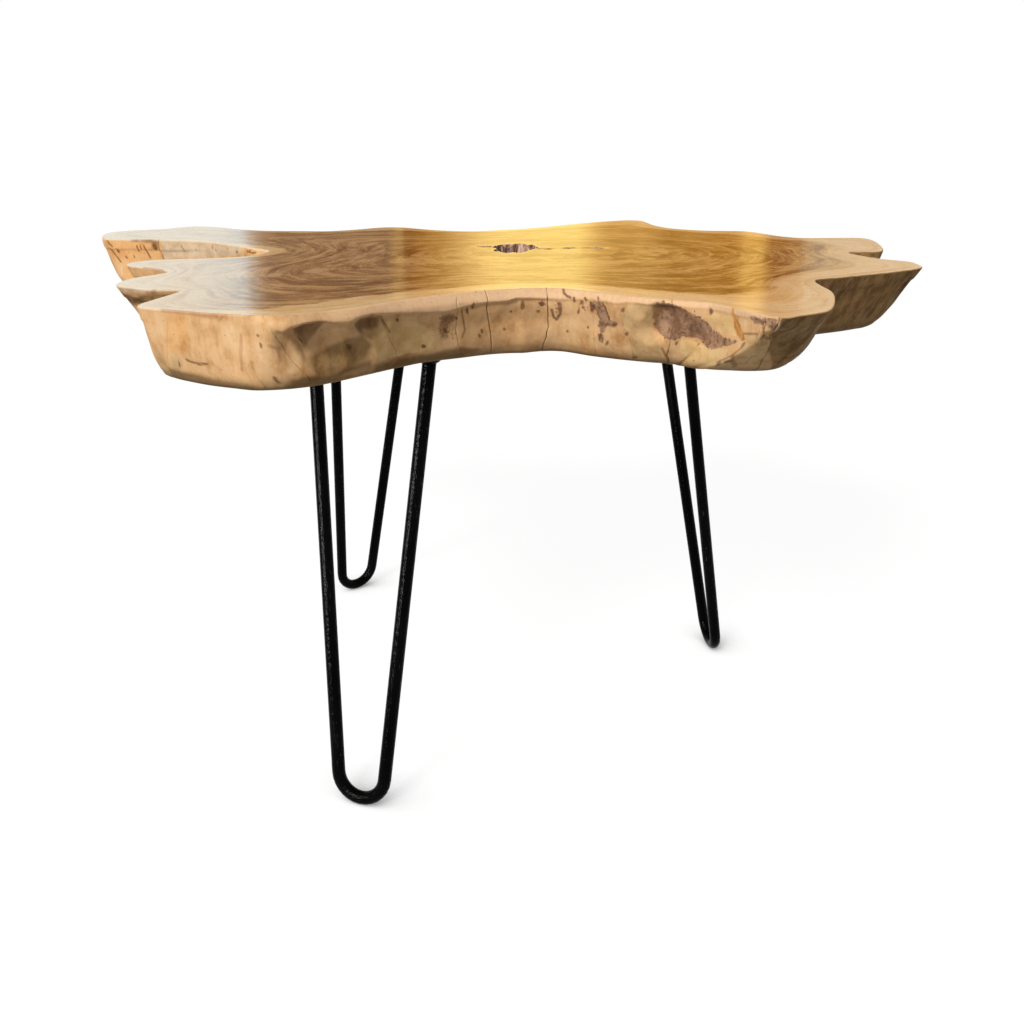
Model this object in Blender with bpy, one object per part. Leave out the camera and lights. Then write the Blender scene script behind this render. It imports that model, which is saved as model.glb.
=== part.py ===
"""Tree trunk coffee table: a fluted slice of trunk on three two-rod hairpin legs.

Metres, +Z up. The origin is on the floor, under the centre of the slab's box.
"""

from collections import namedtuple
from math import acos, atan2, cos, pi, radians, sin, sqrt, tan

import bmesh
import bpy
import numpy as np

# Overall sizes
LEG_HEIGHT = 0.406
SLAB_THICKNESS = 0.0565
JOINT_GAP = 0.0003

# Rim of the slab's flat top: bearing from the pith in degrees, and reach from the pith
RIM = (
    # Back right lobe
    (3.5, 0.396), (11.5, 0.411), (14.5, 0.402), (15.7, 0.365), (17.0, 0.341),
    # Bay behind it
    (22.0, 0.330), (27.5, 0.331), (32.5, 0.327), (37.5, 0.297), (46.5, 0.287),
    # Back lobe
    (54.5, 0.311), (60.5, 0.351), (64.5, 0.351), (68.5, 0.318),
    # Wide back bay
    (73.5, 0.274), (81.5, 0.219), (93.0, 0.189), (106.0, 0.181), (116.0, 0.210),
    # Low swell along the back
    (121.0, 0.256), (126.0, 0.271), (134.0, 0.269), (141.0, 0.278), (145.0, 0.307),
    # Back left lobe
    (148.5, 0.345), (148.9, 0.385), (148.0, 0.425), (148.8, 0.456), (151.0, 0.465), (154.5, 0.468),
    (157.5, 0.489), (161.5, 0.499), (166.5, 0.478), (169.0, 0.455), (168.5, 0.400), (169.0, 0.352),
    # Deep left bay
    (171.5, 0.318), (176.0, 0.287), (181.0, 0.264), (186.0, 0.247), (192.5, 0.255),
    # Upper small lobe on the left
    (196.0, 0.274), (196.5, 0.310), (196.3, 0.348), (197.2, 0.366), (199.2, 0.376), (201.4, 0.378),
    (203.5, 0.371), (207.0, 0.356),
    # Lower small lobe on the left
    (211.0, 0.352), (213.0, 0.363), (214.7, 0.386), (217.0, 0.403), (219.8, 0.414), (222.5, 0.409),
    (225.5, 0.402), (228.0, 0.388),
    # Front left lobe
    (230.0, 0.404), (232.0, 0.432), (233.8, 0.453), (237.5, 0.451), (243.0, 0.446), (247.5, 0.440),
    (250.0, 0.430), (252.0, 0.408), (254.3, 0.383),
    # Front bay
    (257.0, 0.348), (261.0, 0.318), (265.0, 0.298), (269.0, 0.286), (273.0, 0.281), (277.0, 0.281),
    (280.5, 0.291), (284.0, 0.317), (288.0, 0.346), (291.0, 0.367),
    # Front right lobe
    (293.0, 0.384), (293.5, 0.411), (293.9, 0.440), (294.6, 0.456), (297.0, 0.454), (301.0, 0.447),
    (306.5, 0.416), (310.5, 0.393), (313.0, 0.375), (316.0, 0.356), (318.5, 0.349),
    # Far right lobe
    (322.0, 0.357), (325.5, 0.366), (330.0, 0.382), (334.0, 0.396), (337.5, 0.407), (341.0, 0.403),
    (343.8, 0.394), (346.0, 0.368), (349.0, 0.355), (352.0, 0.346),
    # Notch between the two right lobes
    (354.2, 0.350), (355.5, 0.380),
)

# Live edge by bearing: how far the shoulder swells out below the flat top,
# how far the side leans in from top to bottom, and how much more the bottom corner rounds in
EDGE = (
    (10.0, 0.000, 0.022, 0.014),
    (30.0, 0.004, 0.020, 0.012),
    (46.0, 0.005, 0.018, 0.010),
    (62.0, 0.003, 0.028, 0.016),
    (95.0, 0.005, 0.012, 0.012),
    (128.0, 0.005, 0.016, 0.012),
    (146.0, 0.003, 0.013, 0.012),
    (160.0, 0.000, 0.026, 0.020),
    (182.0, 0.004, 0.009, 0.010),
    (200.0, 0.000, 0.026, 0.010),
    (213.0, 0.000, 0.028, 0.008),
    (221.0, 0.000, 0.040, 0.008),
    (229.0, 0.000, 0.012, 0.010),
    (234.0, 0.000, 0.014, 0.010),
    (239.0, 0.000, 0.007, 0.008),
    (246.0, 0.000, 0.004, 0.008),
    (250.0, 0.008, 0.024, 0.013),
    (254.0, 0.016, 0.043, 0.019),
    (262.0, 0.016, 0.034, 0.008),
    (273.0, 0.011, 0.023, 0.007),
    (284.0, 0.010, 0.035, 0.010),
    (288.0, 0.009, 0.038, 0.013),
    (291.0, 0.008, 0.040, 0.015),
    (293.0, 0.007, 0.042, 0.017),
    (293.5, 0.006, 0.056, 0.025),
    (293.9, 0.005, 0.071, 0.034),
    (294.6, 0.004, 0.077, 0.037),
    (298.0, 0.001, 0.055, 0.029),
    (303.0, 0.000, 0.037, 0.020),
    (310.0, 0.000, 0.024, 0.018),
    (318.0, 0.000, 0.026, 0.008),
    (328.0, 0.000, 0.034, 0.006),
    (336.0, 0.000, 0.034, 0.008),
    (340.0, 0.000, 0.039, 0.010),
    (353.0, 0.000, 0.020, 0.010),
)
SHOULDER_DEPTH = 0.009
SHOULDER_STEPS = 3
CORNER_DEPTH = 0.029
CORNER_STEPS = 5
POINTS_PER_SPAN = 2

# Natural void at the pith: bearing and reach of its mouth
VOID_RIM = (
    (0.0, 0.031), (40.0, 0.036), (64.0, 0.045), (87.0, 0.038), (122.0, 0.030), (180.0, 0.018),
    (230.0, 0.026), (258.0, 0.042), (281.0, 0.046), (312.0, 0.033),
)
VOID_DEPTH = 0.024
VOID_WALL_INSET = 0.010

# Hairpin legs: where each foot stands, the bearing that it faces, and its outward lean in degrees
Leg = namedtuple("Leg", "name foot_x foot_y facing lean")
LEGS = (
    Leg("front_leg", -0.0975, -0.2490, 250.3, 7.5),
    Leg("back_leg", -0.1675, 0.2255, 130.9, 9.2),
    Leg("right_leg", 0.2710, 0.0600, 7.6, 9.2),
)
ROD_DIAMETER = 0.012
ROD_SPACING = 0.108
FOOT_BEND_RADIUS = 0.023
ROD_SIDES = 16
BEND_STEPS = 14

# Mounting plate under the slab, long side across the leg
PLATE_LENGTH = 0.134
PLATE_WIDTH = 0.036
PLATE_THICKNESS = 0.003
PLATE_CORNER_RADIUS = 0.014
PLATE_CORNER_STEPS = 5
PLATE_EDGE_BEVEL = 0.0005

# Weld bead round each rod end
WELD_SIZE = 0.004
WELD_CROWN = 0.0024

# Pan head wood screws, and their pattern on the plate
SCREW_SPACING_ALONG = 0.056
SCREW_SPACING_ACROSS = 0.020
SCREW_LENGTH = 0.022
SCREW_POINT_LENGTH = 0.006
SCREW_POINT_DIAMETER = 0.0008
SHANK_DIAMETER = 0.0045
HEAD_DIAMETER = 0.0085
HEAD_CROWN_DIAMETER = 0.0066
HEAD_HEIGHT = 0.0026
HEAD_RIM_HEIGHT = 0.0014
RECESS_DEPTH = 0.0014
RECESS_ARM = 0.0024
RECESS_WAIST = 0.0010
SCREW_SIDES = 12

# Edges that bend more sharply than this, in degrees, are drawn sharp
SHARP_ANGLE = 35

# Heights that follow from the sizes above
PLATE_TOP = LEG_HEIGHT
PLATE_BOTTOM = PLATE_TOP - PLATE_THICKNESS
SLAB_BOTTOM = PLATE_TOP + JOINT_GAP
SLAB_TOP = SLAB_BOTTOM + SLAB_THICKNESS


def clear_scene():
    for item in list(bpy.data.objects):
        bpy.data.objects.remove(item)


def material(name, colour, roughness, metallic):
    made = bpy.data.materials.new(name)
    made.use_nodes = True
    shader = made.node_tree.nodes["Principled BSDF"]
    shader.inputs["Base Color"].default_value = (*colour, 1.0)
    shader.inputs["Roughness"].default_value = roughness
    shader.inputs["Metallic"].default_value = metallic
    return made


def polar(bearing, reach):
    return np.array((reach * cos(radians(bearing)), reach * sin(radians(bearing))))


def closed_curve(points, per_span):
    """A smooth closed curve through the points, each span cut into equal steps."""
    before = np.roll(points, 1, axis=0)
    after = np.roll(points, -1, axis=0)
    beyond = np.roll(points, -2, axis=0)
    rows = []
    for step in range(per_span):
        t = step / per_span
        rows.append(
            points
            + 0.5 * t * (after - before)
            + t * t * (before - 2.5 * points + 2 * after - 0.5 * beyond)
            + 0.5 * t**3 * (3 * points - before - 3 * after + beyond)
        )
    return np.stack(rows, axis=1).reshape(-1, 2)


def ring_at(plan, height):
    """A closed ring of points: a plan outline, at one height."""
    return [(x, y, height) for x, y in plan]


def circle(radius, sides):
    turns = [2 * pi * side / sides for side in range(sides)]
    return [(radius * cos(turn), radius * sin(turn)) for turn in turns]


def loft(name, rings, round_trip=False):
    """A closed mesh through rings of equal count: capped at its ends, or joined last to first."""
    work = bmesh.new()
    loops = [[work.verts.new(point) for point in ring] for ring in rings]
    pairs = list(zip(loops, loops[1:]))
    if round_trip:
        pairs.append((loops[-1], loops[0]))
    else:
        work.faces.new(loops[0])
        work.faces.new(loops[-1])
    for lower, upper in pairs:
        for here in range(len(lower)):
            there = (here + 1) % len(lower)
            work.faces.new((lower[here], lower[there], upper[there], upper[here]))
    bmesh.ops.recalc_face_normals(work, faces=work.faces)
    mesh = bpy.data.meshes.new(name)
    work.to_mesh(mesh)
    work.free()
    mesh.shade_smooth()
    mesh.set_sharp_from_angle(angle=radians(SHARP_ANGLE))
    return mesh


def add_object(name, mesh, finish=None, parent=None, location=(0, 0, 0)):
    made = bpy.data.objects.new(name, mesh)
    bpy.context.scene.collection.objects.link(made)
    made.parent = parent
    made.location = location
    if finish and not mesh.materials:
        mesh.materials.append(finish)
    return made


def add_cutter(name, mesh, group, parent=None, location=(0, 0, 0)):
    cutter = add_object(name, mesh, parent=parent, location=location)
    cutter.hide_render = True
    cutter.display_type = "WIRE"
    group.objects.link(cutter)
    return cutter


def cut_by_group(target, group):
    cut = target.modifiers.new("cuts", "BOOLEAN")
    cut.operation = "DIFFERENCE"
    cut.solver = "EXACT"
    cut.operand_type = "COLLECTION"
    cut.collection = group


def edge_values(plan):
    """Shoulder, lean and corner of the live edge at each point of the outline."""
    table = np.array(EDGE)
    bearings = np.degrees(np.arctan2(plan[:, 1], plan[:, 0])) % 360
    return [np.interp(bearings, table[:, 0], table[:, column], period=360) for column in (1, 2, 3)]


def side_depths():
    """Depths of the live edge's rings: close together round its shoulder and its bottom corner."""
    shoulder = [SHOULDER_DEPTH * step / SHOULDER_STEPS for step in range(SHOULDER_STEPS + 1)]
    corner = [CORNER_DEPTH * sin(pi / 2 * step / CORNER_STEPS) for step in range(CORNER_STEPS + 1)]
    return shoulder + [SLAB_THICKNESS - CORNER_DEPTH + depth for depth in corner]


def slab_rings():
    """The live edge as level rings about the pith, from the flat top down to the underside."""
    plan = closed_curve(np.array([polar(*station) for station in RIM]), POINTS_PER_SPAN)
    outward = plan / np.hypot(plan[:, 0], plan[:, 1])[:, None]
    shoulder, lean, corner = edge_values(plan)
    rings = []
    for depth in side_depths():
        swell = sin(pi / 2 * min(1.0, depth / SHOULDER_DEPTH))
        turn = max(0.0, 1 - (SLAB_THICKNESS - depth) / CORNER_DEPTH)
        rounding = 1 - sqrt(max(0.0, 1 - turn * turn))
        offset = shoulder * swell - lean * depth / SLAB_THICKNESS - corner * rounding
        rings.append((plan + outward * offset[:, None], depth))
    every = np.concatenate([outline for outline, depth in rings])
    pith = -(every.min(axis=0) + every.max(axis=0)) / 2
    return pith, [ring_at(outline, -depth) for outline, depth in rings]


def void_mesh():
    """The cutter for the void at the pith; z = 0 is the flat top."""
    mouth = closed_curve(np.array([polar(*station) for station in VOID_RIM]), POINTS_PER_SPAN)
    slope = mouth / np.hypot(mouth[:, 0], mouth[:, 1])[:, None] * VOID_WALL_INSET
    past_top = mouth + slope * (JOINT_GAP / VOID_DEPTH)
    return loft("void_cut", [ring_at(mouth - slope, -VOID_DEPTH), ring_at(past_top, JOINT_GAP)])


def make_slab(wood, holes):
    pith, rings = slab_rings()
    place = (pith[0], pith[1], SLAB_TOP)
    slab = add_object("slab", loft("slab", rings), wood, location=place)
    add_cutter("void_cut", void_mesh(), holes, location=place)
    cut_by_group(slab, holes)


def plate_mesh():
    """A flat strip with round corners and softened edges; local x is outward, y across the leg."""
    radius = PLATE_CORNER_RADIUS
    middle_x = PLATE_WIDTH / 2 - radius
    middle_y = PLATE_LENGTH / 2 - radius
    bevel = PLATE_EDGE_BEVEL
    corners = ((1, 1, 0), (-1, 1, 90), (-1, -1, 180), (1, -1, 270))

    def outline(inset):
        points = []
        for side_x, side_y, start in corners:
            for step in range(PLATE_CORNER_STEPS + 1):
                arc = polar(start + 90 * step / PLATE_CORNER_STEPS, radius - inset)
                points.append((side_x * middle_x + arc[0], side_y * middle_y + arc[1]))
        return points

    levels = ((bevel, -PLATE_THICKNESS), (0.0, bevel - PLATE_THICKNESS), (0.0, -bevel), (bevel, 0.0))
    return loft("leg_plate", [ring_at(outline(inset), height) for inset, height in levels])


def screw_mesh():
    """A pan head screw pointing up; z = 0 is the seat of its head."""
    cross = []
    for side, (x, y) in enumerate(circle(1.0, SCREW_SIDES)):
        reach = RECESS_ARM if side % (SCREW_SIDES // 4) == 0 else RECESS_WAIST
        cross.append((x * reach, y * reach))
    profile = (
        (HEAD_CROWN_DIAMETER, -HEAD_HEIGHT),
        (HEAD_DIAMETER, -HEAD_RIM_HEIGHT),
        (HEAD_DIAMETER, 0.0),
        (SHANK_DIAMETER, 0.0),
        (SHANK_DIAMETER, SCREW_LENGTH - SCREW_POINT_LENGTH),
        (SCREW_POINT_DIAMETER, SCREW_LENGTH),
    )
    rings = [ring_at(cross, RECESS_DEPTH - HEAD_HEIGHT), ring_at(cross, -HEAD_HEIGHT)]
    rings += [ring_at(circle(diameter / 2, SCREW_SIDES), height) for diameter, height in profile]
    return loft("leg_screw", rings)


def hole_mesh():
    """The screw's clearance hole through the plate and its pilot hole in the slab."""
    around = circle(SHANK_DIAMETER / 2 + JOINT_GAP, SCREW_SIDES)
    ends = (-PLATE_THICKNESS, SCREW_LENGTH + JOINT_GAP)
    return loft("screw_hole", [ring_at(around, height) for height in ends])


class Hairpin:
    """The bent rod of one leg, in the leg's frame: x outward, y across, z = 0 at the plate's top."""

    def __init__(self, lean):
        self.radius = ROD_DIAMETER / 2
        self.lean = lean
        self.up = np.array((-sin(lean), 0.0, cos(lean)))
        self.across = np.array((0.0, 1.0, 0.0))
        self.normal = np.array((cos(lean), 0.0, sin(lean)))
        self.floor = np.array((PLATE_BOTTOM * tan(lean), 0.0, -LEG_HEIGHT))
        self.end_height = -PLATE_THICKNESS - JOINT_GAP
        bend_height = self.radius / cos(lean) + FOOT_BEND_RADIUS
        rise = PLATE_BOTTOM / cos(lean) - bend_height
        half = ROD_SPACING / 2
        self.spread = acos(FOOT_BEND_RADIUS / sqrt(half**2 + rise**2)) - atan2(rise, half)
        self.bend_centre = self.floor + self.up * bend_height

    def section(self, centre, side, reach):
        """A ring round the rod; a vertex of it points straight down at the foot."""
        ring = []
        for x, y in circle(reach, ROD_SIDES):
            turned_x = x * cos(self.lean) + y * sin(self.lean)
            turned_y = y * cos(self.lean) - x * sin(self.lean)
            ring.append(centre + side * turned_x + self.normal * turned_y)
        return ring

    def side_at(self, turn):
        return self.across * cos(turn) + self.up * sin(turn)

    def rod_side(self, sign):
        """Outward direction, axis and tangent point of the rod on one side."""
        side = self.across * sign * cos(self.spread) - self.up * sin(self.spread)
        axis = self.across * sign * sin(self.spread) + self.up * cos(self.spread)
        return side, axis, self.bend_centre + side * FOOT_BEND_RADIUS

    def end_ring(self, sign, reach):
        """A ring round the rod's end, cut level just under the plate."""
        side, axis, tangent = self.rod_side(sign)
        ring = self.section(tangent, side, reach)
        return [point + axis * ((self.end_height - point[2]) / axis[2]) for point in ring]

    def rod_rings(self):
        rings = [self.end_ring(1, self.radius)]
        first, last = -self.spread, -pi + self.spread
        for step in range(BEND_STEPS + 1):
            side = self.side_at(first + (last - first) * step / BEND_STEPS)
            rings.append(self.section(self.bend_centre + side * FOOT_BEND_RADIUS, side, self.radius))
        rings.append(self.end_ring(-1, self.radius))
        return rings

    def weld_rings(self, sign):
        axis = self.rod_side(sign)[1]
        inner = self.radius + JOINT_GAP
        seat = self.end_ring(sign, inner)
        toe = self.end_ring(sign, inner + WELD_SIZE)
        crown = [point - axis * WELD_CROWN for point in self.end_ring(sign, inner + WELD_CROWN)]
        root = [point - axis * WELD_SIZE for point in seat]
        return [seat, toe, crown, root]


def leg_frame(leg):
    """An empty at the middle of the plate's top, turned so that its x points outward."""
    outward = polar(leg.facing, PLATE_BOTTOM * tan(radians(leg.lean)))
    frame = bpy.data.objects.new(leg.name, None)
    bpy.context.scene.collection.objects.link(frame)
    frame.location = (leg.foot_x - outward[0], leg.foot_y - outward[1], PLATE_TOP)
    frame.rotation_euler = (0, 0, radians(leg.facing))
    return frame


def make_leg(leg, meshes, paint, slab_holes):
    name = leg.name
    frame = leg_frame(leg)
    hairpin = Hairpin(radians(leg.lean))
    add_object(name + "_rod", loft(name + "_rod", hairpin.rod_rings()), paint, frame)
    for side, sign in (("left", 1), ("right", -1)):
        weld = name + "_weld_" + side
        add_object(weld, loft(weld, hairpin.weld_rings(sign), round_trip=True), paint, frame)
    plate_holes = bpy.data.collections.new(name + "_holes")
    plate = add_object(name + "_plate", meshes["plate"], paint, frame)
    number = 0
    for out in (-1, 1):
        for along in (-1, 1):
            number += 1
            place = (out * SCREW_SPACING_ACROSS / 2, along * SCREW_SPACING_ALONG / 2, 0.0)
            seat = (place[0], place[1], -PLATE_THICKNESS - JOINT_GAP)
            screw_name = f"{name}_screw_{number}"
            add_object(screw_name, meshes["screw"], meshes["screw_finish"], frame, seat)
            hole = add_cutter(screw_name + "_hole", meshes["hole"], slab_holes, frame, seat)
            plate_holes.objects.link(hole)
    cut_by_group(plate, plate_holes)


def main():
    clear_scene()
    wood = material("lacquered_wood", (0.52, 0.32, 0.14), 0.35, 0.0)
    paint = material("black_paint", (0.012, 0.012, 0.013), 0.38, 0.0)
    slab_holes = bpy.data.collections.new("slab_holes")
    meshes = {
        "plate": plate_mesh(),
        "screw": screw_mesh(),
        "hole": hole_mesh(),
        "screw_finish": material("zinc_screw", (0.55, 0.55, 0.56), 0.32, 1.0),
    }
    make_slab(wood, slab_holes)
    for leg in LEGS:
        make_leg(leg, meshes, paint, slab_holes)


main()
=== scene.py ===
"""Looks of the tree trunk coffee table: the live edge slab, the black hairpin legs and the studio."""

from collections import namedtuple
from math import cos, pi, radians, sin

import bmesh
import bpy
import numpy as np
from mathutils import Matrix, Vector, noise
from mathutils.geometry import delaunay_2d_cdt


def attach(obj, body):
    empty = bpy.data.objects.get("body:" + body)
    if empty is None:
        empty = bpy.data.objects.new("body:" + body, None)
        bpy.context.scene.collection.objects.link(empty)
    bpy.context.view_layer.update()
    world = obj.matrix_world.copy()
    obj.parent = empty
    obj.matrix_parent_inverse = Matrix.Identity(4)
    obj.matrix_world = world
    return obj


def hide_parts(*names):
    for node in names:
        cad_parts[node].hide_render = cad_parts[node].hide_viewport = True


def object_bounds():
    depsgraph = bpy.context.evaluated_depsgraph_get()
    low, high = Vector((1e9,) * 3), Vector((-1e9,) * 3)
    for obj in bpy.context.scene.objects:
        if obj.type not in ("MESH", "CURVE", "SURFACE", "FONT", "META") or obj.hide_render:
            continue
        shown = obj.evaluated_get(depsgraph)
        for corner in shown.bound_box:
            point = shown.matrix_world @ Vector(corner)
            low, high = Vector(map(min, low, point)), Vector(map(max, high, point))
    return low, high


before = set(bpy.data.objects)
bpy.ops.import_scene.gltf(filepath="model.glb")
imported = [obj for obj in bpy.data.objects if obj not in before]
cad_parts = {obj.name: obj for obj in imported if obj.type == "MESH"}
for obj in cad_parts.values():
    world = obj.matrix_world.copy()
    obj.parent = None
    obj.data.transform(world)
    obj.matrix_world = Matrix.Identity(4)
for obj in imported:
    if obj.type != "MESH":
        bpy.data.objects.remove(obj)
cad_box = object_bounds()

# Fineness of the slab's mesh
FINE_COLUMN = 0.0012
COARSE_COLUMN = 0.0018
ROW_STEP = 0.0012
TOP_STEP = 0.009
UNDERSIDE_STEP = 0.03
VOID_COLUMNS = 110
EDGE_ROUND = 0.0012

# Camera, found from the photo: place, downward tilt, focal length and principal point in its pixels
PHOTO_SIZE = 1024
CAMERA_PLACE = (0.0422, -1.1109, 0.5952)
CAMERA_TILT = radians(16.34)
FOCAL_PIXELS = 1103.2
PRINCIPAL_POINT = (515.8, 439.0)
SENSOR_WIDTH = 36.0

# Studio: light levels, and what the lacquer reflects at each photo column
KEY_LEVEL = 3.9
KEY_FROM = (-0.36, -0.72, 0.59)
KEY_SPREAD = radians(16)
BACK_LEVEL = 1.2
WORLD_FILL = 0.09
FLOOR_COLOUR = (0.42, 0.42, 0.42)
FLOOR_GLOW = 1.18
FLOOR_GLOW_SHARE = 0.80
CONTACT_SHADOW_REACH = 0.06
STRIP_ENDS = ((-0.78, -0.94), (-0.68, -1.02))
STRIP_HEIGHT = 0.42
STRIP_LEVEL = 130.0
CARD_DISTANCE = 1.6
CARD_LEVEL = 2.0
CARD_BANDS = (
    (-60, (0.86, 0.95, 0.94)), (242, (0.86, 0.95, 0.94)), (246, (0.82, 0.86, 0.84)),
    (252, (0.61, 0.55, 0.46)), (264, (0.34, 0.215, 0.135)), (282, (0.22, 0.120, 0.066)),
    (391, (0.22, 0.120, 0.066)), (395, (0.44, 0.25, 0.08)), (403, (0.44, 0.25, 0.08)),
    (407, (0.24, 0.07, 0.002)), (424, (0.37, 0.14, 0.008)), (442, (0.58, 0.29, 0.05)),
    (466, (0.96, 0.58, 0.16)), (482, (1.28, 0.84, 0.24)), (500, (1.47, 1.01, 0.29)),
    (575, (1.52, 1.06, 0.30)), (587, (1.25, 0.80, 0.21)), (600, (0.86, 0.49, 0.11)),
    (612, (0.71, 0.37, 0.07)), (640, (0.72, 0.38, 0.08)), (670, (0.54, 0.25, 0.04)),
    (735, (0.52, 0.21, 0.02)), (745, (0.92, 0.49, 0.09)), (758, (0.92, 0.49, 0.09)),
    (770, (0.30, 0.08, 0.005)), (796, (0.38, 0.17, 0.06)), (804, (0.54, 0.35, 0.21)),
    (818, (0.57, 0.42, 0.28)), (1100, (0.68, 0.55, 0.40)),
)

# The crease under the pale bevel of the front edge: photo pixel, and how far the wood below it steps in
DEFAULT_CREASE = 0.0105
CREASE = (
    ((141, 310), 0.0000), ((200, 317), 0.0000), ((262, 321), 0.0000), ((290, 334), 0.0000),
    ((298, 328), 0.0040), ((308, 324), 0.0050), ((326, 322), 0.0040), ((350, 322), 0.0030),
    ((363, 318), 0.0030), ((375, 315), 0.0040), ((387, 313), 0.0030),
    ((411, 313), 0.0020), ((447, 311), 0.0020), ((460, 307), 0.0025), ((480, 303), 0.0030),
    ((508, 301), 0.0030), ((517, 298), 0.0032), ((540, 298), 0.0026), ((559, 299), 0.0016),
    ((575, 299), 0.0008), ((600, 300), 0.0008), ((625, 304), 0.0010), ((650, 303), 0.0024),
    ((662, 302), 0.0030), ((675, 304), 0.0020), ((700, 308), 0.0012), ((730, 312), 0.0010),
    ((760, 317), 0.0012), ((778, 320), 0.0016),
)

# Cracks in the live edge: photo pixels that each one passes, half width and depth in metres, darkness
Crack = namedtuple("Crack", "path half_width deep dark")
CRACKS = (
    # Front left lobe
    Crack(((167, 320), (167.5, 345), (168.5, 360), (171, 370), (176, 377)), 0.0004, 0.0010, 0.45),
    Crack(((228, 366), (233, 381)), 0.0004, 0.0010, 0.40),
    Crack(((250, 364), (257, 380), (262, 386)), 0.0004, 0.0012, 0.50),
    Crack(((263, 318), (270, 328), (280, 343), (290, 357), (298, 366), (308, 376)), 0.0004, 0.0016, 0.70),
    # Front bay
    Crack(((387, 320), (391, 335), (396, 348), (398, 356)), 0.0004, 0.0014, 0.60),
    Crack(((457, 300), (458.5, 312), (457, 330), (459, 345), (461, 351)), 0.0004, 0.0012, 0.55),
    Crack(((486, 291), (488, 297), (488.5, 302), (489, 312), (490.5, 325), (491.5, 340), (491, 352)),
          0.0006, 0.0030, 0.90),
    Crack(((546, 288), (547, 297), (548, 306), (548.5, 328), (546, 336), (545, 342), (541, 350)),
          0.0006, 0.0026, 0.85),
    Crack(((590, 302), (591.5, 315), (592.5, 330), (594, 345), (595.5, 354)), 0.0005, 0.0016, 0.65),
    Crack(((622, 325), (626, 335), (631, 347), (632, 359)), 0.0004, 0.0012, 0.55),
    Crack(((672, 299), (671, 308), (671, 320), (670, 330), (669, 345), (667, 356), (669, 363)),
          0.0006, 0.0026, 0.85),
    # Front right lobe
    Crack(((776, 309), (778.5, 314), (779, 320), (777, 326), (774, 332), (773, 338), (772, 346),
           (768, 354), (763, 361), (757, 369)), 0.0008, 0.0040, 0.95),
    # Back left lobe, towards the bay
    Crack(((158.5, 240), (159, 250), (162, 258)), 0.0008, 0.0026, 0.90),
    Crack(((200, 244), (206, 255)), 0.0005, 0.0012, 0.50),
    Crack(((234, 244), (238, 251), (238, 256)), 0.0008, 0.0022, 0.80),
)
# Cracks on the sides that the photo hides: plan place near the rim, top and bottom depth, in metres
HIDDEN_CRACKS = (
    (-0.352, 0.285, 0.000, 0.046), (-0.205, 0.225, 0.004, 0.050), (-0.105, 0.272, 0.000, 0.040),
    (0.030, 0.240, 0.006, 0.054), (0.118, 0.318, 0.000, 0.050), (0.262, 0.233, 0.002, 0.046),
    (0.400, 0.145, 0.000, 0.044),
)

# Scooped hollows: photo pixel, then half width, half height and depth in metres
SCOOPS = (
    ((286, 350), 0.011, 0.019, 0.0030), ((314, 345), 0.026, 0.027, 0.0080),
    ((372, 326), 0.020, 0.013, 0.0044), ((356, 350), 0.018, 0.017, 0.0036),
    ((412, 338), 0.022, 0.018, 0.0016), ((447, 331), 0.013, 0.016, 0.0014),
    ((523, 322), 0.026, 0.020, 0.0014), ((600, 316), 0.012, 0.018, 0.0016),
    ((660, 322), 0.016, 0.021, 0.0060), ((637, 312), 0.006, 0.008, 0.0010),
    ((706, 334), 0.022, 0.012, 0.0018), ((784, 327), 0.010, 0.011, 0.0036),
    ((827, 281), 0.012, 0.010, 0.0050), ((152, 293), 0.008, 0.008, 0.0050),
    ((155, 246), 0.006, 0.006, 0.0030),
)

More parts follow.
